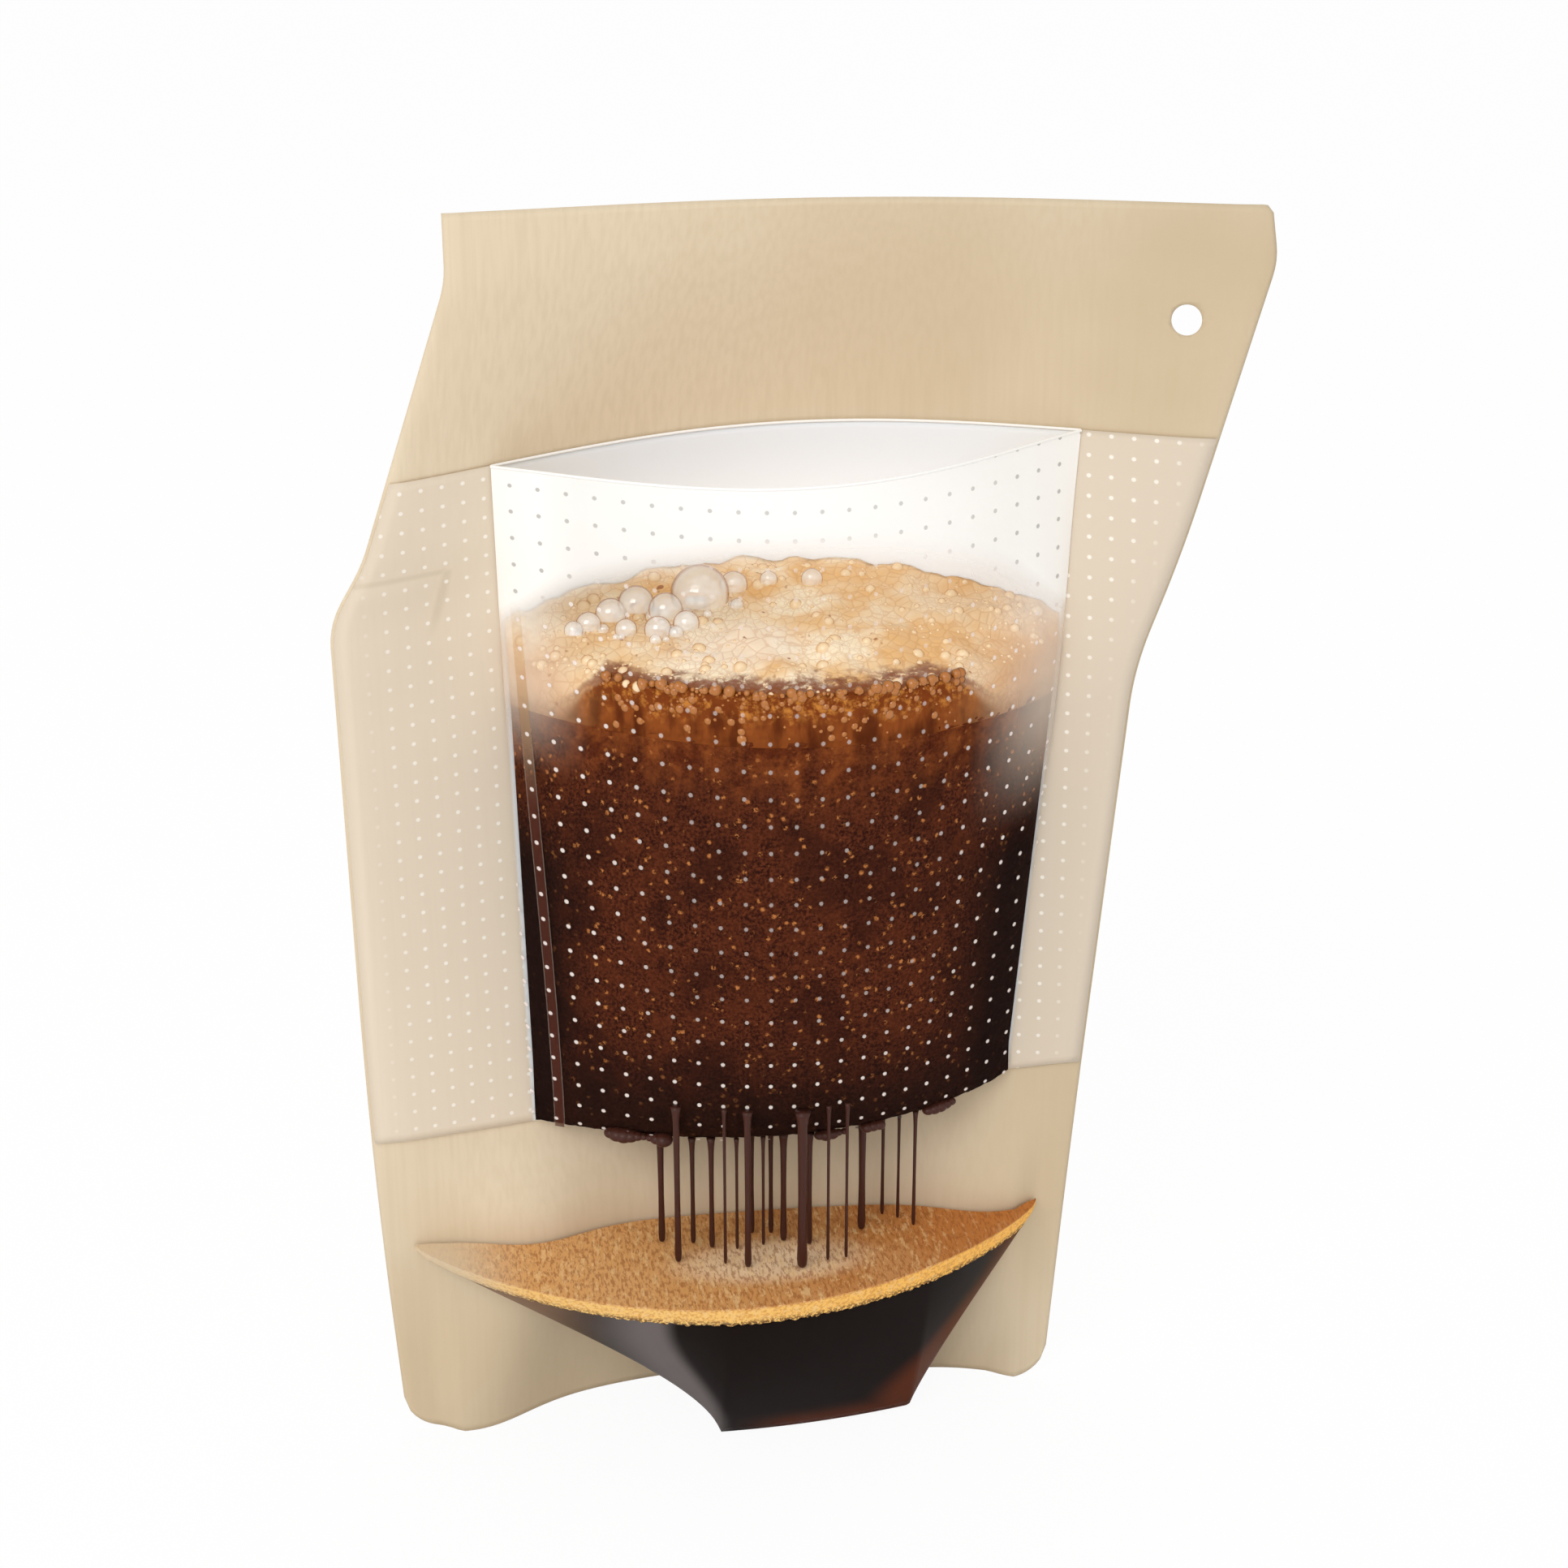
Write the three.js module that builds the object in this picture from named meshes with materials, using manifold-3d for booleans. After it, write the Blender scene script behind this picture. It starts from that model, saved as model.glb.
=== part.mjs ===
// Drip coffee bag: a stand-up brewing pouch with a perforated filter pocket of wet ground
// coffee inside, and the brewed coffee dripping into the gusseted base.
// Millimetres, Z up, X across the pouch, front towards -Y, hem of the pouch on Z = 0.
// Depths are measured from the plane of the side seals.

import * as THREE from 'three';
import Module from 'manifold-3d';
import { mergeVertices } from 'three/addons/utils/BufferGeometryUtils.js';

const wasm = await Module();
wasm.setup();

// Sheet stock and the clearances between pieces
const panelThickness = 0.4;
const filmThickness = 0.3;
const filterThickness = 0.3;
const sheetGap = 0.42;
const liquidGap = 0.5;

// Pouch outline, seen from the front
const pouchHeight = 259;
const headerDrop = 2;
const sealWidth = 6.5;
const mouthSealWidth = 1.5;
const hemCornerRadius = 8;
const hemCornerReach = 32;
const leftHem = -70.6;
const leftWaist = -74.6;
const leftSpout = -75.8;
const leftNeck = -69.3;
const leftHeader = -51;
const rightHem = 69.2;
const rightWaist = 73.6;
const rightShoulder = 81.8;
const rightNeck = 90.3;
const rightHeader = 105.5;
const rightTop = 103.4;
const waistHeight = 65;
const spoutHeight = 183;
const neckHeight = 193;
const shoulderHeight = 166;
const flareHeight = 190;
const headerHeight = 246.5;
const topCornerRadius = 1.5;

// How far the back and front walls stand out from the plane of the side seals
const backBowHem = 12.6;
const backBowPool = 3.6;
const backBowHip = 10;
const backBowBody = 20.5;
const backBowMouth = 30.7;
const backBowTop = 12.7;
const frontBowHem = 12;
const frontBowPool = 33;
const frontBowBody = 35;
const frontBowMouth = 29;
const frontBowTop = 12.4;
const bodyHeight = 150;
const backFullness = 1.15;
const frontFullness = 0.75;

// Dimples in the back wall, where the opened base pulls it forward
const leftDimple = 5;
const rightDimple = 4.6;
const dimpleWidth = 0.1;
const dimpleFade = 16;
const leftDimpleFoot = 0.08;
const leftDimpleHead = 0.19;
const rightDimpleColumn = 0.92;
const rightDimpleFlare = 0.5;
const dimpleSealFade = 0.04;

// Folded base: the seal between wall and gusset climbs from the floor to the side seals
const poolLevel = 46;
const gussetFloor = 1;
const gussetRise = 44.2;
const floorStart = 0.47;
const floorEnd = 0.8;
const leftSealCurve = 0.65;
const rightSealCurve = 0.85;
const skirtLean = 0.15;
const bulgeSwell = 0.4;
const flapSlack = 0.8;
const flapSlackFade = 0.06;

// Hang hole through both walls of the header
const hangHoleDiameter = 6;
const hangHoleX = 89.7;
const hangHoleHeight = 234.7;

// Filter: a full-width web with a bowed pocket sheet on its front
const webTopLeft = 209.5;
const webTopRight = 212.5;
const webBottom = 70.5;
const webBottomRise = 8;
const pocketTopLeft = -43.9;
const pocketBottomLeft = -41.4;
const pocketTopRight = 71.6;
const pocketBottomRight = 58.8;
const pocketFrontMouth = -19.2;
const pocketFrontBody = -22.6;
const pocketFrontLow = -21.4;
const pocketFrontHip = -18.5;
const pocketBodyHeight = 172;
const pocketLowHeight = 120;
const pocketHipHeight = 84;
const pocketBelly = 68.8;
const pocketBellyRise = 5;
const bellyFullness = 0.5;
const bellyDip = 1.5;
const bellyNose = 1.02;
const bellyTuck = 0.72;
const pocketFullness = 0.8;
const pocketMouthFullness = 1.1;

// Perforations in the front of the pocket
const perforationDiameter = 1.4;
const perforationPunch = 6;
const perforationSides = 4;
const perforationFoot = 91;
const perforationHead = 204;
const perforationMargin = 0.08;
const perforationRows = 10;
const perforationColumns = 10;

// What the pocket and the pouch hold
const bedLevel = 161.5;
const bedFloorRow = 0.12;
const foamFrontLevel = 171;
const foamSideRise = 5;
const foamDome = 8;
const foamFullness = 0.6;
const cremaDepth = 4.8;

// Streams of coffee: place, and radius of the thin part
const faceDrips = [
  { x: -13, radius: 0.6 },
  { x: -3.5, radius: 0.3 },
  { x: 1, radius: 0.6 },
  { x: 12, radius: 0.9 },
  { x: 17.6, radius: 0.3 },
  { x: 21.5, radius: 0.3 },
];
const bellyDrips = [
  { x: -15.6, y: -7.4, radius: 0.6 },
  { x: -9.2, y: -9, radius: 0.45 },
  { x: -5.5, y: -11.2, radius: 0.5 },
  { x: -0.4, y: -12.6, radius: 0.3 },
  { x: 3.3, y: -6.6, radius: 0.6 },
  { x: 5.2, y: -11.8, radius: 0.3 },
  { x: 7.4, y: -7.2, radius: 0.45 },
  { x: 9.6, y: -10.5, radius: 0.6 },
  { x: 14.7, y: -12.6, radius: 0.55 },
  { x: 26.5, y: -8.2, radius: 0.7 },
  { x: 31.8, y: -3.2, radius: 0.35 },
  { x: 34.8, y: -5.2, radius: 0.3 },
  { x: 37.6, y: -8.4, radius: 0.35 },
];
const dripHangHeight = 82.5;
const dripBell = 2.1;
const dripBellLength = 4;
const dripFlare = 0.4;
const dripFoot = 1.35;
const dripFootLength = 4;

// Grid steps of the sheets, and sides of the round things
const wallColumns = 12;
const pocketColumns = 20;
const hangHoleSides = 20;
const dripSides = 5;
const shoreSamples = 400;
const shoreMargin = 0.01;
const bellySamples = 60;

const kraft = new THREE.MeshStandardMaterial({ color: 0xe2cfb1, roughness: 0.85, metalness: 0 });
const clearFilm = new THREE.MeshStandardMaterial({
  color: 0xf7f8f8,
  roughness: 0.15,
  metalness: 0,
  transparent: true,
  opacity: 0.12,
});
const webFilm = new THREE.MeshStandardMaterial({ color: 0xe6d8c1, roughness: 0.6, metalness: 0 });
const pocketFilm = new THREE.MeshStandardMaterial({
  color: 0xfcf9f2,
  roughness: 0.45,
  metalness: 0,
  transparent: true,
  opacity: 0.45,
});
const groundCoffee = new THREE.MeshStandardMaterial({ color: 0x46241a, roughness: 0.75, metalness: 0 });
const foamMaterial = new THREE.MeshStandardMaterial({ color: 0xd79a58, roughness: 0.4, metalness: 0 });
const cremaMaterial = new THREE.MeshStandardMaterial({ color: 0xcf9257, roughness: 0.7, metalness: 0 });
const coffeeMaterial = new THREE.MeshStandardMaterial({ color: 0x1a0f0b, roughness: 0.12, metalness: 0 });
const dripMaterial = new THREE.MeshStandardMaterial({ color: 0x4b2d26, roughness: 0.2, metalness: 0 });

const lerp = THREE.MathUtils.lerp;
const clamp = THREE.MathUtils.clamp;

function steps(from, to, count) {
  return Array.from({ length: count + 1 }, (_, i) => lerp(from, to, i / count));
}

// A straight-sided outline with its corners eased: x at a height, from corners listed upwards
function easedEdge(corners, z) {
  let i = 0;
  while (i < corners.length - 2 && z > corners[i + 1].z) {
    i += 1;
  }
  const slopeOf = (k) => (corners[k + 1].x - corners[k].x) / (corners[k + 1].z - corners[k].z);
  let x = corners[i].x + slopeOf(i) * (z - corners[i].z);
  for (const k of [i, i + 1]) {
    const corner = corners[k];
    const away = Math.abs(z - corner.z);
    if (corner.ease && away < corner.ease && k > 0 && k < corners.length - 1) {
      x += ((slopeOf(k) - slopeOf(k - 1)) * (corner.ease - away) ** 2) / (4 * corner.ease);
    }
  }
  return x;
}

// A smooth curve through stations listed upwards: value at a height
function through(stations, z) {
  let i = 0;
  while (i < stations.length - 2 && z > stations[i + 1].z) {
    i += 1;
  }
  const slopeAt = (k) => {
    const low = stations[Math.max(k - 1, 0)];
    const high = stations[Math.min(k + 1, stations.length - 1)];
    return (high.value - low.value) / (high.z - low.z);
  };
  const a = stations[i];
  const b = stations[i + 1];
  const span = b.z - a.z;
  const s = (z - a.z) / span;
  const blend = s * s * (3 - 2 * s);
  const leave = s * (1 - s) * (1 - s) * span * slopeAt(i);
  const arrive = s * s * (s - 1) * span * slopeAt(i + 1);
  return lerp(a.value, b.value, blend) + leave + arrive;
}

const leftCorners = [
  { z: 0, x: leftHem },
  { z: waistHeight, x: leftWaist, ease: 40 },
  { z: spoutHeight, x: leftSpout, ease: 5 },
  { z: neckHeight, x: leftNeck, ease: 4 },
  { z: headerHeight, x: leftHeader, ease: 3 },
  { z: pouchHeight, x: leftHeader },
];
const rightCorners = [
  { z: 0, x: rightHem },
  { z: waistHeight, x: rightWaist, ease: 30 },
  { z: shoulderHeight, x: rightShoulder, ease: 8 },
  { z: flareHeight, x: rightNeck, ease: 10 },
  { z: headerHeight, x: rightHeader, ease: 3 },
  { z: pouchHeight, x: rightTop },
];
const leftEdge = (z) => easedEdge(leftCorners, z);
const rightEdge = (z) => easedEdge(rightCorners, z);

// Columns run from -1 at the left edge over 0 and 1 at the inner ends of the side seals to 2
function columnX(column, z) {
  const inside = clamp(column, 0, 1);
  const across = lerp(leftEdge(z) + sealWidth, rightEdge(z) - sealWidth, inside);
  return across + (column - inside) * sealWidth;
}

// Share of the width between the side seals, which narrow towards the mouth
function columnAt(x, z) {
  const narrowing = THREE.MathUtils.smoothstep(z, poolLevel, bodyHeight);
  const seal = lerp(sealWidth, mouthSealWidth, narrowing);
  const left = leftEdge(z) + seal;
  const right = rightEdge(z) - seal;
  return clamp((x - left) / (right - left), 0, 1);
}

const archOf = (share, fullness) => Math.max(Math.sin(Math.PI * clamp(share, 0, 1)), 0) ** fullness;

const bell = (distance) => Math.exp(-distance * distance);

function dimple(column, z) {
  const fade = bell(Math.max(z - poolLevel, 0) / dimpleFade);
  const rise = clamp(z / poolLevel, 0, 1);
  const leftColumn = lerp(leftDimpleFoot, leftDimpleHead, rise);
  const left = leftDimple * bell((column - leftColumn) / dimpleWidth);
  const rightDepth = rightDimple * lerp(-rightDimpleFlare, 1, rise);
  const right = rightDepth * bell((column - rightDimpleColumn) / dimpleWidth);
  const seal = clamp(Math.min(column, 1 - column) / dimpleSealFade, 0, 1);
  return (left + right) * fade * seal;
}

const backStations = [
  { z: 0, value: backBowHem },
  { z: poolLevel, value: backBowPool },
  { z: webBottom, value: backBowHip },
  { z: bodyHeight, value: backBowBody },
  { z: webTopRight, value: backBowMouth },
  { z: pouchHeight, value: backBowTop },
];

// Middle plane of the back wall
function backY(x, z) {
  const column = columnAt(x, z);
  return through(backStations, z) * archOf(column, backFullness) - dimple(column, z);
}

// Sheets between the two walls in the side seals: two flaps of the gusset, then the web
const layerPitch = (panelThickness + filmThickness) / 2 + sheetGap;
const layerStations = [
  { z: 0, value: 3 },
  { z: poolLevel, value: 3 },
  { z: webBottom + webBottomRise, value: 2 },
  { z: webTopRight, value: 2 },
  { z: pouchHeight, value: 1 },
];
const sealDepth = (z) => layerPitch * through(layerStations, z);

const frontStations = [
  { z: poolLevel, value: frontBowPool },
  { z: bodyHeight, value: frontBowBody },
  { z: webTopRight, value: frontBowMouth },
  { z: pouchHeight, value: frontBowTop },
];

// Height of the seal between wall and gusset
function gussetLine(column) {
  const left = clamp((floorStart - column) / floorStart, 0, 1) ** leftSealCurve;
  const right = clamp((column - floorEnd) / (1 - floorEnd), 0, 1) ** rightSealCurve;
  return lerp(gussetFloor, gussetRise, Math.max(left, right));
}

// Middle plane of the front wall: a flat skirt up to the gusset seal, then the bulge
function frontY(x, z) {
  const column = columnAt(x, z);
  const depth = sealDepth(z);
  if (z >= poolLevel) {
    return -depth - through(frontStations, z) * archOf(column, frontFullness);
  }
  const line = gussetLine(column);
  const arch = archOf(column, frontFullness);
  const hem = frontBowHem * arch;
  const crease = hem * (1 + (skirtLean * line) / poolLevel);
  if (z <= line) {
    return -depth - lerp(hem, crease, z / line);
  }
  const s = (z - line) / (poolLevel - line);
  return -depth - lerp(crease, frontBowPool * arch, s * (1 + bulgeSwell * (1 - s)));
}

// Cut line of the hem, with round lower corners, and of the header
function hemZ(column, z) {
  const fromEdge = sealWidth * (1 + Math.min(column, 1 - column));
  const inCorner = clamp(hemCornerRadius - fromEdge, 0, hemCornerRadius);
  const lift = hemCornerRadius - Math.sqrt(hemCornerRadius ** 2 - inCorner ** 2);
  return z + lift * clamp(1 - z / hemCornerReach, 0, 1);
}

function headerZ(column, z) {
  const share = clamp((z - webTopRight) / (pouchHeight - webTopRight), 0, 1);
  const fromEdge = sealWidth * (2 - column);
  const inCorner = clamp(topCornerRadius - fromEdge, 0, topCornerRadius);
  const drop = topCornerRadius - Math.sqrt(topCornerRadius ** 2 - inCorner ** 2);
  return z - share * (headerDrop * clamp(column, 0, 1) + drop);
}

// One closed body between two surfaces over the same grid. The first one faces along
// (step in u) x (step in v).
function bodyBetween(face, rear, us, vs) {
  const positions = [];
  const indices = [];
  for (const surface of [face, rear]) {
    for (const v of vs) {
      for (const u of us) {
        positions.push(...surface(u, v).toArray());
      }
    }
  }
  const columns = us.length;
  const rows = vs.length;
  const end = columns - 1;
  const onFace = (i, j) => j * columns + i;
  const onRear = (i, j) => (rows + j) * columns + i;
  const quad = (a, b, c, d) => indices.push(a, b, c, a, c, d);
  for (let j = 0; j < rows - 1; j += 1) {
    for (let i = 0; i < columns - 1; i += 1) {
      quad(onFace(i, j), onFace(i + 1, j), onFace(i + 1, j + 1), onFace(i, j + 1));
      quad(onRear(i, j), onRear(i, j + 1), onRear(i + 1, j + 1), onRear(i + 1, j));
    }
  }
  for (let i = 0; i < columns - 1; i += 1) {
    quad(onFace(i, 0), onRear(i, 0), onRear(i + 1, 0), onFace(i + 1, 0));
    quad(onFace(i + 1, rows - 1), onRear(i + 1, rows - 1), onRear(i, rows - 1), onFace(i, rows - 1));
  }
  for (let j = 0; j < rows - 1; j += 1) {
    quad(onFace(0, j + 1), onRear(0, j + 1), onRear(0, j), onFace(0, j));
    quad(onFace(end, j), onRear(end, j), onRear(end, j + 1), onFace(end, j + 1));
  }
  return welded(positions, indices);
}

// Joins shared corners and drops the triangles that have no area because of it
function welded(positions, indices) {
  const loose = new THREE.BufferGeometry();
  loose.setAttribute('position', new THREE.Float32BufferAttribute(positions, 3));
  loose.setIndex(indices);
  const merged = mergeVertices(loose, 1e-3);
  const kept = [];
  const index = merged.getIndex().array;
  for (let i = 0; i < index.length; i += 3) {
    const [a, b, c] = [index[i], index[i + 1], index[i + 2]];
    if (a !== b && b !== c && c !== a) {
      kept.push(a, b, c);
    }
  }
  merged.setIndex(kept);
  merged.computeVertexNormals();
  return merged;
}

// Unit normal of a surface at one point of its grid
function normalOf(surface, u, v) {
  const nudge = 1e-3;
  const along = surface(u + nudge, v).sub(surface(u - nudge, v));
  const up = surface(u, v + nudge).sub(surface(u, v - nudge));
  return along.cross(up).normalize();
}

function offsetFrom(surface, distance) {
  return (u, v) => surface(u, v).addScaledVector(normalOf(surface, u, v), distance);
}

function sheet(surface, us, vs, thickness) {
  return bodyBetween(offsetFrom(surface, thickness / 2), offsetFrom(surface, -thickness / 2), us, vs);
}

// A wall keeps its cut edges level: its thickness is laid on horizontally
function wallSheet(surface, us, vs, thickness) {
  const side = (distance) => (u, v) => {
    const level = normalOf(surface, u, v).setZ(0).normalize();
    return surface(u, v).addScaledVector(level, distance);
  };
  return bodyBetween(side(thickness / 2), side(-thickness / 2), us, vs);
}

function solidFrom(geometry) {
  const bare = geometry.clone();
  bare.deleteAttribute('normal');
  bare.deleteAttribute('uv');
  const merged = mergeVertices(bare, 1e-4);
  return new wasm.Manifold(
    new wasm.Mesh({
      numProp: 3,
      vertProperties: new Float32Array(merged.getAttribute('position').array),
      triVerts: new Uint32Array(merged.getIndex().array),
    }),
  );
}

function geometryFrom(solid) {
  const mesh = solid.getMesh();
  const geometry = new THREE.BufferGeometry();
  geometry.setAttribute('position', new THREE.BufferAttribute(new Float32Array(mesh.vertProperties), 3));
  geometry.setIndex(new THREE.BufferAttribute(new Uint32Array(mesh.triVerts), 1));
  geometry.computeVertexNormals();
  return geometry;
}

// The round punch went through the flat pouch, so the hole narrows where the wall now turns
function punched(geometry) {
  const punchLength = 2 * (frontBowBody + backBowMouth);
  const slope = backY(hangHoleX + 0.5, hangHoleHeight) - backY(hangHoleX - 0.5, hangHoleHeight);
  const radius = hangHoleDiameter / 2;
  const punch = new THREE.CylinderGeometry(radius, radius, punchLength, hangHoleSides);
  punch.scale(Math.cos(Math.atan(slope)), 1, 1);
  punch.translate(hangHoleX, 0, hangHoleHeight);
  return geometryFrom(solidFrom(geometry).subtract(solidFrom(punch)));
}

const sealColumns = [-1, -0.85, -0.5, 0];
const wallAcross = [
  ...sealColumns,
  ...steps(0, floorStart, wallColumns / 2).slice(1),
  ...steps(floorStart, floorEnd, wallColumns / 4).slice(1),
  ...steps(floorEnd, 1, wallColumns / 4).slice(1, -1),
  ...sealColumns.map((column) => 1 - column).reverse(),
];

// Levels of the back wall behind the filter, which the web shares so that the two lie parallel
const filterLevels = [
  ...steps(webBottom, shoulderHeight, 6),
  ...steps(shoulderHeight, neckHeight, 4).slice(1),
  ...steps(neckHeight, webTopRight, 2).slice(1),
];

// The origin is on the hem of the back wall, which stands behind the plane of the side seals
const group = new THREE.Group();
group.position.y = -backBowHem;

function add(name, geometry, material) {
  const mesh = new THREE.Mesh(geometry, material.clone());
  mesh.name = name;
  group.add(mesh);
}

// Point of the outer outline at a column and a level, on a wall given by its depth
function wallPoint(column, level, depthAt) {
  const z = headerZ(column, hemZ(column, level));
  const x = columnX(column, z);
  return new THREE.Vector3(x, depthAt(x, z), z);
}

function backPanel() {
  const levels = [
    ...steps(0, poolLevel, 6),
    ...steps(poolLevel, webBottom, 2).slice(1),
    ...filterLevels.slice(1),
    ...steps(webTopRight, headerHeight, 3).slice(1),
    ...steps(headerHeight, pouchHeight, 2).slice(1),
  ];
  const wall = (column, level) => wallPoint(column, level, backY);
  return punched(wallSheet(wall, wallAcross, levels, panelThickness));
}

// Rows below the pool level follow the gusset seal, so that the crease lies on grid lines
const skirtRows = steps(0, 1, 2);
const bulgeRows = steps(1, 2, 4).slice(1);

function gussetRowZ(column, row) {
  const line = gussetLine(column);
  return row <= 1 ? line * row : lerp(line, poolLevel, row - 1);
}

function frontFilm() {
  const levels = [
    ...steps(poolLevel, shoulderHeight, 5).slice(1),
    ...steps(shoulderHeight, neckHeight, 3).slice(1),
    ...steps(neckHeight, headerHeight, 3).slice(1),
    ...steps(headerHeight, pouchHeight, 2).slice(1),
  ];
  // Rows 0 to 2 are the base, and each row above 2 adds one millimetre of height
  const rows = [...skirtRows, ...bulgeRows, ...levels.map((level) => 2 + level - poolLevel)];
  const wall = (column, row) => {
    const level = row <= 2 ? gussetRowZ(column, Math.max(row, 0)) : poolLevel + row - 2;
    return wallPoint(column, level, frontY);
  };
  return punched(wallSheet(wall, wallAcross, rows, filmThickness));
}

// The gusset is an arch: up inside the front wall, across to the back wall and down inside it
function baseGusset() {
  const onFront = (column, z) => {
    const x = columnX(column, z);
    return new THREE.Vector3(x, frontY(x, z) + layerPitch, z);
  };
  const onBack = (column, z) => {
    const x = columnX(column, z);
    const slack = flapSlack * clamp(Math.min(column, 1 - column) / flapSlackFade, 0, 1);
    return new THREE.Vector3(x, backY(x, z) - layerPitch - slack, z);
  };
  const arch = (column, v) => {
    const line = gussetLine(column);
    const foot = hemZ(column, sheetGap);
    if (v <= 1) {
      return onFront(column, lerp(foot, line, v));
    }
    if (v >= 2) {
      return onBack(column, lerp(line, foot, v - 2));
    }
    return onFront(column, line).lerp(onBack(column, line), v - 1);
  };
  const rows = [...steps(0, 1, 2), ...steps(1, 2, 3).slice(1), ...steps(2, 3, 4).slice(1)];
  return sheet(arch, wallAcross.slice(1, -1), rows, filmThickness);
}

const webBottomAt = (x) => webBottom + webBottomRise * columnAt(x, webBottom) ** 3;
const webTopAt = (x) => lerp(webTopLeft, webTopRight, columnAt(x, webTopLeft));
const webPitch = (panelThickness + filterThickness) / 2 + sheetGap;
const webY = (x, z) => backY(x, z) - webPitch;

function filterWeb() {
  const web = (column, v) => {
    const guess = columnX(column, lerp(webBottom, webTopLeft, v));
    const z = lerp(webBottomAt(guess), webTopAt(guess), v);
    const x = columnX(column, z);
    return new THREE.Vector3(x, webY(x, z), z);
  };
  const rows = filterLevels.map((level) => (level - webBottom) / (webTopRight - webBottom));
  return sheet(web, wallAcross.slice(1, -1), rows, filterThickness);
}

// Pocket sheet: side seams on the web, and a bowed front that closes under the coffee
const upWeb = (z, top) => (z - webBottom) / (top - webBottom);
const pocketLeft = (z) => lerp(pocketBottomLeft, pocketTopLeft, upWeb(z, webTopLeft));
const pocketRight = (z) => lerp(pocketBottomRight, pocketTopRight, upWeb(z, webTopRight));
const pocketPitch = filterThickness + sheetGap;
const mouthReach = webTopRight - pocketBodyHeight;

const pocketStations = [
  { z: pocketHipHeight, value: pocketFrontHip },
  { z: pocketLowHeight, value: pocketFrontLow },
  { z: pocketBodyHeight, value: pocketFrontBody },
  { z: webTopRight, value: pocketFrontMouth },
];

// Front of the pocket at a share of its width, pulled in from its edges by an inset
function pocketFrontPoint(share, z, inset) {
  const left = pocketLeft(z);
  const right = pocketRight(z);
  const x = lerp(left + inset, right - inset, share);
  const seamLeft = webY(left, z) - pocketPitch;
  const seamRight = webY(right, z) - pocketPitch;
  const height = Math.max(z, pocketHipHeight);
  const reach = through(pocketStations, height) - (seamLeft + seamRight) / 2 + inset;
  const opened = clamp((z - pocketBodyHeight) / mouthReach, 0, 1);
  const fullness = lerp(pocketFullness, pocketMouthFullness, opened);
  const y = lerp(seamLeft, seamRight, share) + reach * archOf(share, fullness);
  return new THREE.Vector3(x, Math.min(y, webY(x, z) - pocketPitch - inset), z);
}

// Rows: 0 at the mouth, 1 at the hip where the belly starts, 2 at the seam under the belly
function pocketPoint(share, row, inset = 0) {
  const x = lerp(pocketLeft(webBottom), pocketRight(webBottom), share);
  if (row <= 1) {
    const z = lerp(webTopAt(lerp(pocketTopLeft, pocketTopRight, share)), pocketHipHeight, row);
    return pocketFrontPoint(share, z, inset);
  }
  const seam = webBottomAt(x) + pocketPitch + inset;
  const belly = lerp(seam, pocketBelly + pocketBellyRise * share + inset, archOf(share, bellyFullness));
  const s = row - 1;
  const hip = pocketFrontPoint(share, pocketHipHeight, inset);
  const z = bezier(pocketHipHeight, 2 * belly - seam, belly - bellyDip, seam, s);
  const depth = bezier(1, bellyNose, bellyTuck, 0, s);
  const web = webY(hip.x, z) - pocketPitch - inset;
  return new THREE.Vector3(hip.x, Math.min(lerp(web, hip.y, depth), web), z);
}

function bezier(a, b, c, d, s) {
  const t = 1 - s;
  return a * t ** 3 + 3 * b * t * t * s + 3 * c * t * s * s + d * s ** 3;
}

// Shares that crowd towards the side seams, where the sheet turns fastest
const pocketAcross = steps(0, 1, pocketColumns).map((s) => (1 - Math.cos(Math.PI * s)) / 2);
const bellyRows = steps(1, 2, 6).slice(1);

function filterPocket() {
  const rows = [...steps(0, 1, 11), ...bellyRows].map((row) => -row).reverse();
  const bowl = sheet((share, row) => pocketPoint(share, -row), pocketAcross, rows, filterThickness);
  return perforated(bowl);
}

// Drain holes through the front of the pocket, on an even grid
function perforated(geometry) {
  const radius = perforationDiameter / 2;
  const punches = [];
  for (const z of steps(perforationFoot, perforationHead, perforationRows - 1)) {
    for (const share of steps(perforationMargin, 1 - perforationMargin, perforationColumns - 1)) {
      const place = pocketFrontPoint(share, z, 0);
      const punch = new THREE.CylinderGeometry(radius, radius, perforationPunch, perforationSides);
      punch.translate(place.x, place.y, place.z);
      punches.push(solidFrom(punch));
    }
  }
  return geometryFrom(solidFrom(geometry).subtract(wasm.Manifold.union(punches)));
}

// Wet grounds fill the belly of the pocket up to the bed level
function coffeeBed() {
  const inset = filterThickness + liquidGap;
  const face = (share, v) => {
    if (v >= 1) {
      return pocketFrontPoint(share, lerp(pocketHipHeight, bedLevel, v - 1), inset);
    }
    return pocketPoint(share, 2 - v, lerp(2, 1, v) * inset);
  };
  const rear = (share, v) => {
    const front = face(share, v);
    const seam = webBottomAt(front.x) + pocketPitch + inset;
    const z = v >= 1 ? front.z : lerp(seam, pocketHipHeight, v);
    return new THREE.Vector3(front.x, webY(front.x, z) - inset, z);
  };
  const shares = pocketAcross.slice(2, -2);
  return bodyBetween(face, rear, shares, [...steps(bedFloorRow, 1, 5), ...steps(1, 2, 5).slice(1)]);
}

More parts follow.
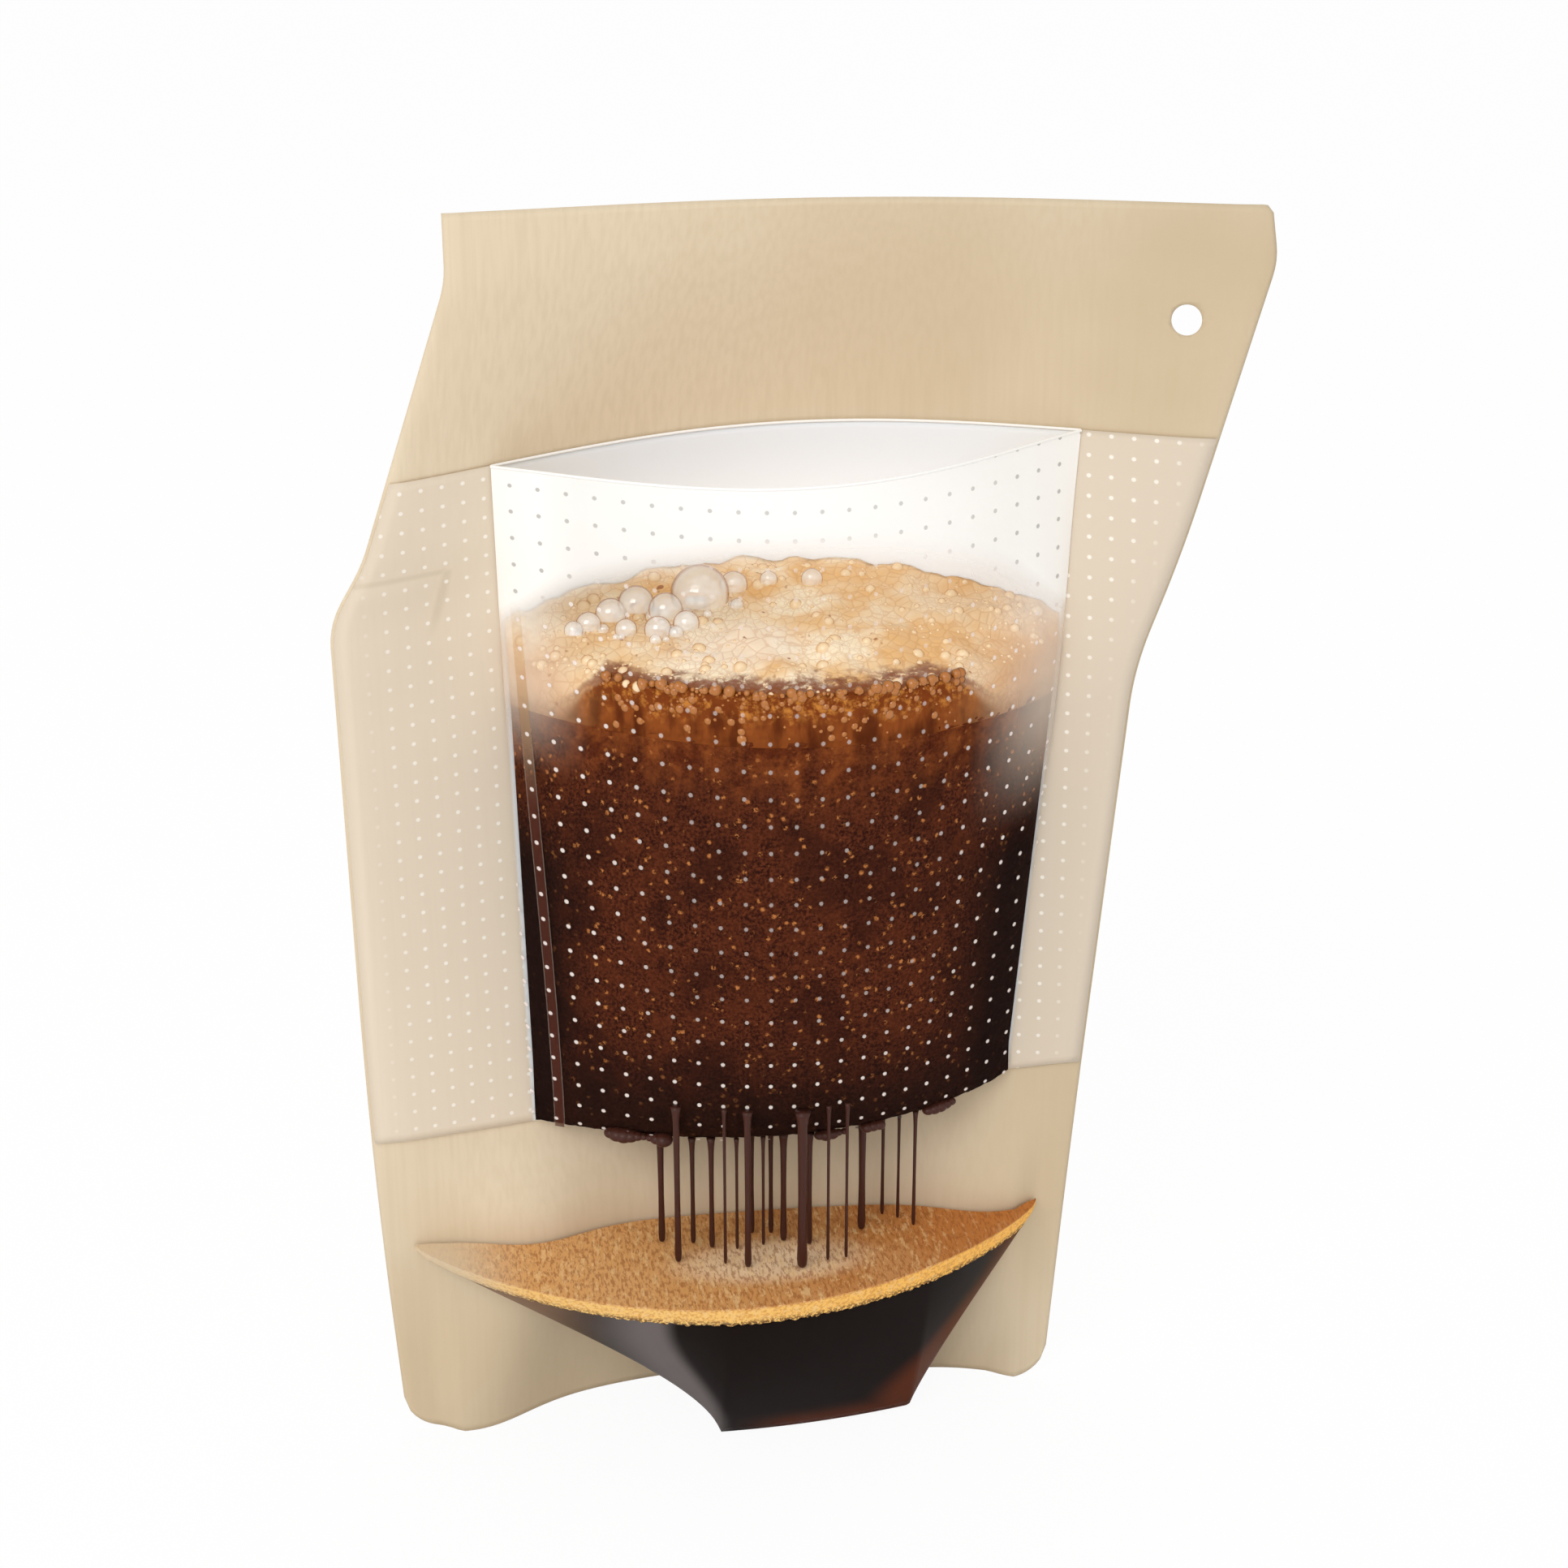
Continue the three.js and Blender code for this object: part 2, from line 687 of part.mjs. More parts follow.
// Foam on the grounds: level at the front of the pocket, domed towards the web
function coffeeFoam() {
  const inset = filterThickness + liquidGap;
  const floor = bedLevel + liquidGap;
  const layer = (share, depth, z) => {
    const front = pocketFrontPoint(share, z, inset);
    const back = webY(front.x, z) - inset;
    return new THREE.Vector3(front.x, lerp(front.y, back, depth), z);
  };
  const top = (share, depth) => {
    const dome = depth * (foamSideRise + foamDome * archOf(share, foamFullness));
    return layer(share, depth, foamFrontLevel + dome);
  };
  const bottom = (share, depth) => layer(share, depth, floor);
  return bodyBetween(top, bottom, pocketAcross.slice(1, -1), steps(0, 1, 6));
}

// A pool between the walls and the gusset: a bowl closed by a level top
function pool(top, floorAt, columns) {
  const wallClear = (panelThickness + filmThickness) / 2 + liquidGap + layerPitch / 2;
  const point = (column, side, z) => {
    const x = columnX(column, z);
    const front = frontY(x, z) + wallClear;
    const back = backY(x, z) - wallClear;
    return new THREE.Vector3(x, lerp(front, Math.max(back, front + sheetGap), side), z);
  };
  const bowl = (column, v) => {
    const floor = floorAt(column);
    if (v < 1) {
      return point(column, 0, lerp(top, floor, v));
    }
    return v > 2 ? point(column, 1, lerp(floor, top, v - 2)) : point(column, v - 1, floor);
  };
  const level = (column, v) => point(column, v / 3, top);
  const rows = [...steps(0, 1, 3), ...steps(1, 2, 2).slice(1), ...steps(2, 3, 2).slice(1)];
  return bodyBetween(level, bowl, columns, rows);
}

const liquidFloor = (column) => gussetLine(column) + filmThickness / 2 + liquidGap;

// The columns of the walls between the two places where a pool's floor comes up to its top
function poolColumns(top) {
  const shore = top - sheetGap;
  const wet = steps(0, 1, shoreSamples).filter((column) => liquidFloor(column) < shore);
  const left = wet[0];
  const right = wet[wet.length - 1];
  const isInside = (column) => column > left + shoreMargin && column < right - shoreMargin;
  return [left, ...wallAcross.filter(isInside), right];
}

const cremaFloor = poolLevel - cremaDepth;

function brewedCoffee() {
  const top = cremaFloor - sheetGap;
  return pool(top, liquidFloor, poolColumns(top));
}

function crema() {
  const floorAt = (column) => Math.max(liquidFloor(column), cremaFloor);
  return pool(poolLevel, floorAt, poolColumns(poolLevel));
}

// Height of the underside of the belly, or of its face, straight above a point
function bellyHeight(x, y) {
  const share = (x - pocketBottomLeft) / (pocketBottomRight - pocketBottomLeft);
  const rows = steps(1, 2, bellySamples).filter((row) => pocketPoint(share, row).y >= y);
  return rows.length > 0 ? pocketPoint(share, rows[0]).z : dripHangHeight;
}

// A stream: a bell where it leaves the bag, a thread that thins, and a foot on the crema
function drip(x, y, radius, top) {
  const bottom = poolLevel + sheetGap;
  const outline = [
    [0, bottom],
    [radius * dripFoot, bottom],
    [radius, bottom + dripFootLength * radius],
    [radius, top - dripBellLength],
    [radius * lerp(1, dripBell, dripFlare), top - dripBellLength / 4],
    [radius * dripBell, top],
    [0, top],
  ].map(([r, z]) => new THREE.Vector2(r, z));
  const thread = new THREE.LatheGeometry(outline, dripSides);
  thread.rotateX(Math.PI / 2);
  thread.translate(x, y, 0);
  return thread;
}

add('back_panel', backPanel(), kraft);
add('front_film', frontFilm(), clearFilm);
add('base_gusset', baseGusset(), clearFilm);
add('filter_web', filterWeb(), webFilm);
add('filter_pocket', filterPocket(), pocketFilm);
add('coffee_bed', coffeeBed(), groundCoffee);
add('coffee_foam', coffeeFoam(), foamMaterial);
add('brewed_coffee', brewedCoffee(), coffeeMaterial);
add('crema', crema(), cremaMaterial);

const faceSpots = faceDrips.map(({ x, radius }) => {
  const share = (x - pocketBottomLeft) / (pocketBottomRight - pocketBottomLeft);
  const face = pocketFrontPoint(share, pocketHipHeight, 0).y;
  return { x, y: face - filterThickness / 2 - sheetGap - radius * dripBell, radius, top: dripHangHeight };
});
const bellySpots = bellyDrips.map(({ x, y, radius }) => {
  const reach = radius * dripBell;
  const underside = Math.min(bellyHeight(x, y - reach), bellyHeight(x, y + reach));
  return { x, y, radius, top: underside - filterThickness / 2 - sheetGap };
});
[...faceSpots, ...bellySpots]
  .sort((a, b) => a.x - b.x)
  .forEach(({ x, y, radius, top }, i) => {
    add(`drip_${String(i + 1).padStart(2, '0')}`, drip(x, y, radius, top), dripMaterial);
  });

export default group;
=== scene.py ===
import math
import random

import bmesh
import bpy
import numpy as np
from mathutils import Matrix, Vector, noise


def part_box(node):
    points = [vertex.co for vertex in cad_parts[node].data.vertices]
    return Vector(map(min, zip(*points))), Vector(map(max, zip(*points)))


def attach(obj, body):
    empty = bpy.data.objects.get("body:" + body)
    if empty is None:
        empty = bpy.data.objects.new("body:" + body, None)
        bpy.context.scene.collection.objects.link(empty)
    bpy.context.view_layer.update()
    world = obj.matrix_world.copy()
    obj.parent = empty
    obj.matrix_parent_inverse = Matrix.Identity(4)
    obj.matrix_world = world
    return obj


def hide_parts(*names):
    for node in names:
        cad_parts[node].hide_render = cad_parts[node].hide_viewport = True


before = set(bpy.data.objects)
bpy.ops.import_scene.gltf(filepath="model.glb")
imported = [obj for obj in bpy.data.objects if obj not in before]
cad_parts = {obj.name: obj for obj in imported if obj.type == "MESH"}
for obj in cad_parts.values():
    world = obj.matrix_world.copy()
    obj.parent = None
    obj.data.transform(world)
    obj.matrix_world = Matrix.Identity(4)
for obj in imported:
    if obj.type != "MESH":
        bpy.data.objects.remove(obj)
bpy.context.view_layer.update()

MM = 0.001
FRAME_SHIFT = -12.6
PANEL = 0.4
FILM = 0.3
SHEET_GAP = 0.42

# Pouch outline
HEIGHT = 259.0
HEADER_DROP = 2.0
SEAL = 6.5
MOUTH_SEAL = 1.5
HEM_RADIUS = 8.0
HEM_REACH = 32.0
TOP_RADIUS = 1.5

# A corner of an edge: its height, its x there and the length over which it is eased
LEFT_CORNERS = [
    (0, -70.6, 0),
    (65, -74.6, 40),
    (183, -75.8, 5),
    (193, -69.3, 4),
    (246.5, -51, 3),
    (HEIGHT, -51, 0),
]
RIGHT_CORNERS = [
    (0, 69.2, 0),
    (65, 73.6, 30),
    (166, 81.8, 8),
    (190, 90.3, 10),
    (246.5, 105.5, 3),
    (HEIGHT, 103.4, 0),
]

# Levels
POOL = 46.0
BODY = 150.0
WEB_TOP_LEFT = 209.5
WEB_TOP_RIGHT = 212.5
WEB_BOTTOM = 70.5
WEB_RISE = 8.0

# A station: its height and the depth in the middle of the wall there
BACK_STATIONS = [
    (0, 12.6),
    (POOL, 3.6),
    (WEB_BOTTOM, 10),
    (BODY, 20.5),
    (WEB_TOP_RIGHT, 30.7),
    (HEIGHT, 12.7),
]
FRONT_STATIONS = [(POOL, 33), (BODY, 35), (WEB_TOP_RIGHT, 29), (HEIGHT, 12.4)]
LAYER_STATIONS = [
    (0, 3),
    (POOL, 3),
    (WEB_BOTTOM + WEB_RISE, 2),
    (WEB_TOP_RIGHT, 2),
    (HEIGHT, 1),
]
BACK_FULLNESS = 1.15
FRONT_FULLNESS = 0.75

# Dimples and folded base
DIMPLE_WIDTH = 0.1
FLOOR_START = 0.47
FLOOR_END = 0.8
LAYER_PITCH = (PANEL + FILM) / 2 + SHEET_GAP

# Hang hole
HOLE_X = 89.7
HOLE_Z = 234.7
HOLE_RADIUS = 3.0

# Filter pocket
POCKET_TOP_LEFT = -43.9
POCKET_BOTTOM_LEFT = -41.4
POCKET_TOP_RIGHT = 71.6
POCKET_BOTTOM_RIGHT = 58.8
HIP = 84.0
POCKET_STATIONS = [(HIP, -18.5), (120, -21.4), (172, -22.6), (WEB_TOP_RIGHT, -19.2)]
POCKET_FULLNESS = 0.8
POCKET_MOUTH_FULLNESS = 1.1
POCKET_BODY = 172.0
BELLY = 68.8
BELLY_RISE = 5.0
WEB_PITCH = (PANEL + FILM) / 2 + SHEET_GAP
POCKET_PITCH = FILM + SHEET_GAP

# What it holds
BED = 161.5
FOAM_FRONT = 171.0
FOAM_SIDE_RISE = 5.0
FOAM_DOME = 8.0
CREMA_DEPTH = 4.8

# A large bubble on the foam: its middle and its radius
LARGE_BUBBLES = [
    (-4.5, 6.0, 183.5, 5.8),
    (-11.5, 3.0, 181.5, 3.4),
    (-17.0, 6.0, 182.0, 3.6),
    (-22.0, 5.0, 180.5, 3.1),
    (-26.5, 3.5, 179.0, 2.5),
    (-13.5, -1.5, 179.0, 2.7),
    (-19.5, 0.5, 178.6, 2.2),
    (-8.0, -1.5, 180.0, 2.6),
    (-29.5, 2.0, 178.4, 1.9),
    (2.5, 9.0, 184.0, 2.8),
    (9.5, 9.5, 184.6, 1.8),
    (18.0, 9.0, 184.5, 2.2),
]
CLUSTERED = 9

# A run of wet beads: x of the first, count, mean radius, swing of the radius and its pace
BEAD_PITCH = 1.3
BEAD_RUNS = [
    (-25.5, 9, 1.5, 0.6, 0.9),
    (16.5, 5, 1.2, 0.4, 1.3),
    (26.5, 3, 1.4, 0.0, 1.0),
    (40.0, 5, 1.3, 0.3, 1.0),
]

# Streams under the pocket: a solid stream is BELL times as thick as the neck of its thread
THREAD_SIDES = 12
BELL = 1.8
THREAD_REACH = 3.5

# Clearances of the finer pieces, and the radius of the pocket's rims
GROUNDS_INSET = 0.7
FOAM_INSET = 0.6
REAR_INSET = 0.4
LIQUID_GAP = 0.45
RIM_RADIUS = 0.28

# Perforations that are drawn in the materials
DOT_RADIUS = 0.4
WEB_DOT_PITCH = 3.95
POCKET_DOT_PITCH_LOW = 4.7
POCKET_DOT_PITCH_HIGH = 5.1

# Places of the looks, all in the pouch's own millimetres
SPOUT_LINE = 190.0
VEIL_FOOT = 175.5
VEIL_HEAD = 183.5
VEIL_ARCH = 21.0
CREMA_EDGE = 45.9
CREMA_SIDE = 45.2
RIDGE_LOW = -3.0
RIDGE_HIGH = -16.0


def lerp(a, b, s):
    return a + (b - a) * s


def clamp(value, low=0.0, high=1.0):
    return max(low, min(high, value))


def smooth(value, low, high):
    s = clamp((value - low) / (high - low))
    return s * s * (3 - 2 * s)


def eased_edge(corners, z):
    i = 0
    while i < len(corners) - 2 and z > corners[i + 1][0]:
        i += 1

    def slope(k):
        return (corners[k + 1][1] - corners[k][1]) / (corners[k + 1][0] - corners[k][0])

    x = corners[i][1] + slope(i) * (z - corners[i][0])
    for k in (i, i + 1):
        ease = corners[k][2]
        away = abs(z - corners[k][0])
        if ease and away < ease and 0 < k < len(corners) - 1:
            x += (slope(k) - slope(k - 1)) * (ease - away) ** 2 / (4 * ease)
    return x


def through(stations, z):
    i = 0
    while i < len(stations) - 2 and z > stations[i + 1][0]:
        i += 1

    def slope(k):
        low = stations[max(k - 1, 0)]
        high = stations[min(k + 1, len(stations) - 1)]
        return (high[1] - low[1]) / (high[0] - low[0])

    a, b = stations[i], stations[i + 1]
    span = b[0] - a[0]
    s = (z - a[0]) / span
    leave = s * (1 - s) * (1 - s) * span * slope(i)
    arrive = s * s * (s - 1) * span * slope(i + 1)
    return lerp(a[1], b[1], s * s * (3 - 2 * s)) + leave + arrive


def left_edge(z):
    return eased_edge(LEFT_CORNERS, z)


def right_edge(z):
    return eased_edge(RIGHT_CORNERS, z)


def column_x(column, z):
    inside = clamp(column)
    across = lerp(left_edge(z) + SEAL, right_edge(z) - SEAL, inside)
    return across + (column - inside) * SEAL


def column_at(x, z):
    seal = lerp(SEAL, MOUTH_SEAL, smooth(z, POOL, BODY))
    left = left_edge(z) + seal
    return clamp((x - left) / (right_edge(z) - seal - left))


def arch_of(share, fullness):
    return max(math.sin(math.pi * clamp(share)), 0.0) ** fullness


def bell(distance):
    return math.exp(-distance * distance)


def dimple(column, z):
    fade = bell(max(z - POOL, 0) / 16)
    rise = clamp(z / POOL)
    left = 5 * bell((column - lerp(0.08, 0.19, rise)) / DIMPLE_WIDTH)
    right = 4.6 * lerp(-0.5, 1, rise) * bell((column - 0.92) / DIMPLE_WIDTH)
    return (left + right) * fade * clamp(min(column, 1 - column) / 0.04)


def back_y(x, z):
    column = column_at(x, z)
    return through(BACK_STATIONS, z) * arch_of(column, BACK_FULLNESS) - dimple(column, z)


def gusset_line(column):
    left = clamp((FLOOR_START - column) / FLOOR_START) ** 0.65
    right = clamp((column - FLOOR_END) / (1 - FLOOR_END)) ** 0.85
    return lerp(1, 44.2, max(left, right))


def front_y(x, z):
    column = column_at(x, z)
    depth = LAYER_PITCH * through(LAYER_STATIONS, z)
    arch = arch_of(column, FRONT_FULLNESS)
    if z >= POOL:
        return -depth - through(FRONT_STATIONS, z) * arch
    line = gusset_line(column)
    hem = 12 * arch
    crease = hem * (1 + 0.15 * line / POOL)
    if z <= line:
        return -depth - lerp(hem, crease, z / line)
    s = (z - line) / (POOL - line)
    return -depth - lerp(crease, 33 * arch, s * (1.4 - 0.4 * s))


def hem_z(column, z):
    in_corner = clamp(HEM_RADIUS - SEAL * (1 + min(column, 1 - column)), 0, HEM_RADIUS)
    lift = HEM_RADIUS - math.sqrt(HEM_RADIUS**2 - in_corner**2)
    return z + lift * clamp(1 - z / HEM_REACH)


def header_z(column, z):
    share = clamp((z - WEB_TOP_RIGHT) / (HEIGHT - WEB_TOP_RIGHT))
    in_corner = clamp(TOP_RADIUS - SEAL * (2 - column), 0, TOP_RADIUS)
    drop = TOP_RADIUS - math.sqrt(TOP_RADIUS**2 - in_corner**2)
    return z - share * (HEADER_DROP * clamp(column) + drop)


def web_y(x, z):
    return back_y(x, z) - WEB_PITCH


def web_bottom(x):
    return WEB_BOTTOM + WEB_RISE * column_at(x, WEB_BOTTOM) ** 3


def web_top(x):
    return lerp(WEB_TOP_LEFT, WEB_TOP_RIGHT, column_at(x, WEB_TOP_LEFT))


def pocket_left(z):
    return lerp(POCKET_BOTTOM_LEFT, POCKET_TOP_LEFT, (z - WEB_BOTTOM) / (WEB_TOP_LEFT - WEB_BOTTOM))


def pocket_right(z):
    return lerp(POCKET_BOTTOM_RIGHT, POCKET_TOP_RIGHT, (z - WEB_BOTTOM) / (WEB_TOP_RIGHT - WEB_BOTTOM))


def pocket_front(share, z, inset):
    left, right = pocket_left(z), pocket_right(z)
    x = lerp(left + inset, right - inset, share)
    seam_left = web_y(left, z) - POCKET_PITCH
    seam_right = web_y(right, z) - POCKET_PITCH
    reach = through(POCKET_STATIONS, max(z, HIP)) - (seam_left + seam_right) / 2 + inset
    opened = clamp((z - POCKET_BODY) / (WEB_TOP_RIGHT - POCKET_BODY))
    fullness = lerp(POCKET_FULLNESS, POCKET_MOUTH_FULLNESS, opened)
    y = lerp(seam_left, seam_right, share) + reach * arch_of(share, fullness)
    return (x, min(y, web_y(x, z) - POCKET_PITCH - inset), z)


def bezier(a, b, c, d, s):
    t = 1 - s
    return a * t**3 + 3 * b * t * t * s + 3 * c * t * s * s + d * s**3


# Rows: 0 at the mouth, 1 at the hip, 2 at the seam under the belly
def pocket_point(share, row, inset=0.0):
    x = lerp(pocket_left(WEB_BOTTOM), pocket_right(WEB_BOTTOM), share)
    if row <= 1:
        top = web_top(lerp(POCKET_TOP_LEFT, POCKET_TOP_RIGHT, share))
        return pocket_front(share, lerp(top, HIP, row), inset)
    seam = web_bottom(x) + POCKET_PITCH + inset
    belly = lerp(seam, BELLY + BELLY_RISE * share + inset, arch_of(share, 0.5))
    s = row - 1
    hip = pocket_front(share, HIP, inset)
    z = bezier(HIP, 2 * belly - seam, belly - 1.5, seam, s)
    depth = bezier(1, 1.02, 0.72, 0, s)
    web = web_y(hip[0], z) - POCKET_PITCH - inset
    return (hip[0], min(lerp(web, hip[1], depth), web), z)


# Meshes


def grid(surface, us, vs):
    return np.array([[surface(u, v) for u in us] for v in vs], float)


def crowded(count):
    """Shares that crowd towards both ends."""
    return (1 - np.cos(np.pi * np.linspace(0, 1, count + 1))) / 2


def normals_of(points):
    along = np.gradient(points, axis=1)
    up = np.gradient(points, axis=0)
    normal = np.cross(along, up)
    return normal / np.maximum(np.linalg.norm(normal, axis=2, keepdims=True), 1e-9)


def finish_piece(name, points, faces, material, replaces=()):
    """A smooth mesh from points in millimetres, riding on the pouch."""
    metres = (np.asarray(points, float) + [0, FRAME_SHIFT, 0]) * MM
    mesh = bpy.data.meshes.new(name)
    mesh.from_pydata(metres.tolist(), [], [list(face) for face in faces])
    mesh.update()
    mesh.polygons.foreach_set("use_smooth", [True] * len(mesh.polygons))
    piece = bpy.data.objects.new(name, mesh)
    bpy.context.scene.collection.objects.link(piece)
    piece.data.materials.append(material)
    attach(piece, "root")
    if replaces:
        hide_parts(*replaces)
    return piece


def body_faces(rows, columns):
    """Faces of a closed body: a face grid, a rear grid after it, and the border between."""
    count = rows * columns
    j, i = np.mgrid[0 : rows - 1, 0 : columns - 1]
    a = (j * columns + i).ravel()
    face = np.stack([a, a + 1, a + columns + 1, a + columns], 1)
    rear = face[:, ::-1] + count
    low = np.arange(columns - 1)
    high = low + (rows - 1) * columns
    left = np.arange(rows - 1) * columns
    right = left + columns - 1
    borders = [(low + 1, low), (high, high + 1), (left, left + columns), (right + columns, right)]
    rim = [np.stack([p, q, q + count, p + count], 1) for p, q in borders]
    return np.concatenate([face, rear, *rim]).tolist()


def body(name, face, rear, material, replaces=()):
    rows, columns, _ = face.shape
    points = np.concatenate([face.reshape(-1, 3), rear.reshape(-1, 3)])
    return finish_piece(name, points, body_faces(rows, columns), material, replaces)


def sheet_body(name, points, thickness, material, replaces=(), level=False):
    normal = normals_of(points)
    if level:
        normal[:, :, 2] = 0
        normal /= np.linalg.norm(normal, axis=2, keepdims=True)
    face = points + normal * thickness / 2
    rear = points - normal * thickness / 2
    return body(name, face, rear, material, replaces)


def skin(name, points, material, replaces=()):
    """One open surface over a grid, for film that is too thin to show its thickness."""
    rows, columns, _ = points.shape
    j, i = np.mgrid[0 : rows - 1, 0 : columns - 1]
    a = (j * columns + i).ravel()
    faces = np.stack([a, a + 1, a + columns + 1, a + columns], 1)
    return finish_piece(name, points.reshape(-1, 3), faces.tolist(), material, replaces)


def icosphere(subdivisions):
    mesh = bpy.data.meshes.new("ball")
    work = bmesh.new()
    bmesh.ops.create_icosphere(work, subdivisions=subdivisions, radius=1)
    work.to_mesh(mesh)
    work.free()
    points = np.array([v.co for v in mesh.vertices])
    faces = np.array([p.vertices for p in mesh.polygons])
    bpy.data.meshes.remove(mesh)
    return points, faces


BALLS = {level: icosphere(level) for level in (2, 3)}


def balls(name, spots, level, material, squash=1.0, foot=-2.0):
    """Many balls in one mesh. A spot is x, y, z and radius; what lies under the foot is left off."""
    points, faces = BALLS[level]
    faces = faces[(points[faces][:, :, 2] > foot).all(axis=1)]
    used = np.unique(faces)
    faces = np.searchsorted(used, faces)
    shape = points[used] * [1, 1, squash]
    all_points = np.concatenate([shape * r + [x, y, z] for x, y, z, r in spots])
    all_faces = np.concatenate([faces + k * len(used) for k in range(len(spots))])
    return finish_piece(name, all_points, all_faces.tolist(), material)


def tube(name, path, radius, sides, material):
    """A closed tube along a path of points, each ring square to the path."""
    path = np.asarray(path, float)
    along = np.gradient(path, axis=0)
    along /= np.linalg.norm(along, axis=1, keepdims=True)
    side = np.cross(along, [0, 0, 1])
    side /= np.linalg.norm(side, axis=1, keepdims=True)
    up = np.cross(side, along)
    turns = np.linspace(0, 2 * np.pi, sides, endpoint=False)
    rings = [path + radius * (math.cos(t) * side + math.sin(t) * up) for t in turns]
    points = np.stack(rings, 1).reshape(-1, 3)
    faces = []
    for j in range(len(path) - 1):
        for i in range(sides):
            a = j * sides + i
            b = j * sides + (i + 1) % sides
            faces.append([a, a + sides, b + sides, b])
    faces.append(list(range(sides)))
    faces.append(list(range(len(points) - 1, len(points) - sides - 1, -1)))
    return finish_piece(name, points, faces, material)


# Shading


def srgb(r, g, b):
    """Colour as it shows on a screen, 0 to 255, to the linear values of a socket."""
    linear = [((c / 255 + 0.055) / 1.055) ** 2.4 if c > 10 else c / 255 / 12.92 for c in (r, g, b)]
    return (*linear, 1.0)


class Field:
    """A value in a shader tree; its arithmetic makes Math nodes."""

    def __init__(self, tree, socket):
        self.tree = tree
        self.socket = socket

    def op(self, operation, *others):
        node = self.tree.nodes.new("ShaderNodeMath")
        node.operation = operation
        for k, value in enumerate((self, *others)):
            plug(self.tree, node.inputs[k], value)
        return Field(self.tree, node.outputs[0])

    def __add__(self, other):
        return self.op("ADD", other)

    def __radd__(self, other):
        return self.op("ADD", other)

    def __sub__(self, other):
        return self.op("SUBTRACT", other)

    def __rsub__(self, other):
        return (self * -1.0) + other

    def __mul__(self, other):
        return self.op("MULTIPLY", other)

    def __rmul__(self, other):
        return self.op("MULTIPLY", other)

    def __truediv__(self, other):
        return self.op("DIVIDE", other)

    def least(self, other):
        return self.op("MINIMUM", other)

    def most(self, other):
        return self.op("MAXIMUM", other)

    def smooth(self, low, high):
        """0 at low and 1 at high; low may be above high."""
        node = self.tree.nodes.new("ShaderNodeMapRange")
        node.interpolation_type = "SMOOTHSTEP"
        plug(self.tree, node.inputs[0], self)
        plug(self.tree, node.inputs[1], low)
        plug(self.tree, node.inputs[2], high)
        return Field(self.tree, node.outputs[0])


def plug(tree, socket, value):
    if isinstance(value, Field):
        tree.links.new(value.socket, socket)
    elif isinstance(value, bpy.types.NodeSocket):
        tree.links.new(value, socket)
    else:
        socket.default_value = value


class Shade:
    """A material under construction, with the point's place in millimetres."""

    def __init__(self, name):
        self.material = bpy.data.materials.new(name)
        self.material.use_nodes = True
        self.tree = self.material.node_tree
        self.tree.nodes.clear()
        place = self.new("ShaderNodeTexCoord")
        scale = self.new("ShaderNodeVectorMath")
        scale.operation = "MULTIPLY"
        scale.inputs[1].default_value = (1 / MM, 1 / MM, 1 / MM)
        self.tree.links.new(place.outputs["Object"], scale.inputs[0])
        self.place = scale.outputs[0]
        split = self.new("ShaderNodeSeparateXYZ")
        self.tree.links.new(self.place, split.inputs[0])
        self.x, self.y, self.z = (Field(self.tree, output) for output in split.outputs)

    def new(self, kind):
        return self.tree.nodes.new(kind)

    def stretched(self, sx, sy, sz):
        node = self.new("ShaderNodeVectorMath")
        node.operation = "MULTIPLY"
        node.inputs[1].default_value = (sx, sy, sz)
        self.tree.links.new(self.place, node.inputs[0])
        return node.outputs[0]

    def noise(self, scale, detail=2.0, place=None, roughness=0.5):
        node = self.new("ShaderNodeTexNoise")
        self.tree.links.new(place or self.place, node.inputs["Vector"])
        node.inputs["Scale"].default_value = scale
        node.inputs["Detail"].default_value = detail
        node.inputs["Roughness"].default_value = roughness
        return Field(self.tree, node.outputs[0])

    def cells(self, scale, feature="F1"):
        node = self.new("ShaderNodeTexVoronoi")
        node.feature = feature
        self.tree.links.new(self.place, node.inputs["Vector"])
        node.inputs["Scale"].default_value = scale
        return Field(self.tree, node.outputs["Distance"])

    def dots(self, across, up, pitch, radius, soft):
        """A square grid of round dots: 1 inside a dot."""
        dx = (across / pitch).op("FRACT") - 0.5
        dz = (up / pitch).op("FRACT") - 0.5
        away = (dx * dx + dz * dz).op("SQRT") * pitch
        return away.smooth(radius + soft, radius - soft)

    def mix(self, share, first, second):
        node = self.new("ShaderNodeMix")
        node.data_type = "RGBA"
        plug(self.tree, node.inputs["Factor"], share)
        colours = [s for s in node.inputs if s.type == "RGBA"]
        plug(self.tree, colours[0], first)
        plug(self.tree, colours[1], second)
        return [s for s in node.outputs if s.type == "RGBA"][0]

    def bump(self, height, strength, distance):
        node = self.new("ShaderNodeBump")
        node.inputs["Strength"].default_value = strength
        node.inputs["Distance"].default_value = distance
        plug(self.tree, node.inputs["Height"], height)
        return node.outputs[0]

    def surface(self, colour, roughness=0.5, specular=0.5, normal=None, alpha=None):
        node = self.new("ShaderNodeBsdfPrincipled")
        plug(self.tree, node.inputs["Base Color"], colour)
        plug(self.tree, node.inputs["Roughness"], roughness)
        plug(self.tree, node.inputs["Specular IOR Level"], specular)
        if normal is not None:
            plug(self.tree, node.inputs["Normal"], normal)
        if alpha is not None:
            plug(self.tree, node.inputs["Alpha"], alpha)
        return node.outputs[0]

    def facing(self, blend):
        node = self.new("ShaderNodeLayerWeight")
        node.inputs["Blend"].default_value = blend
        return Field(self.tree, node.outputs["Facing"])

    def done(self, shader):
        out = self.new("ShaderNodeOutputMaterial")
        self.tree.links.new(shader, out.inputs[0])
        return self.material


WHITE = srgb(255, 253, 249)


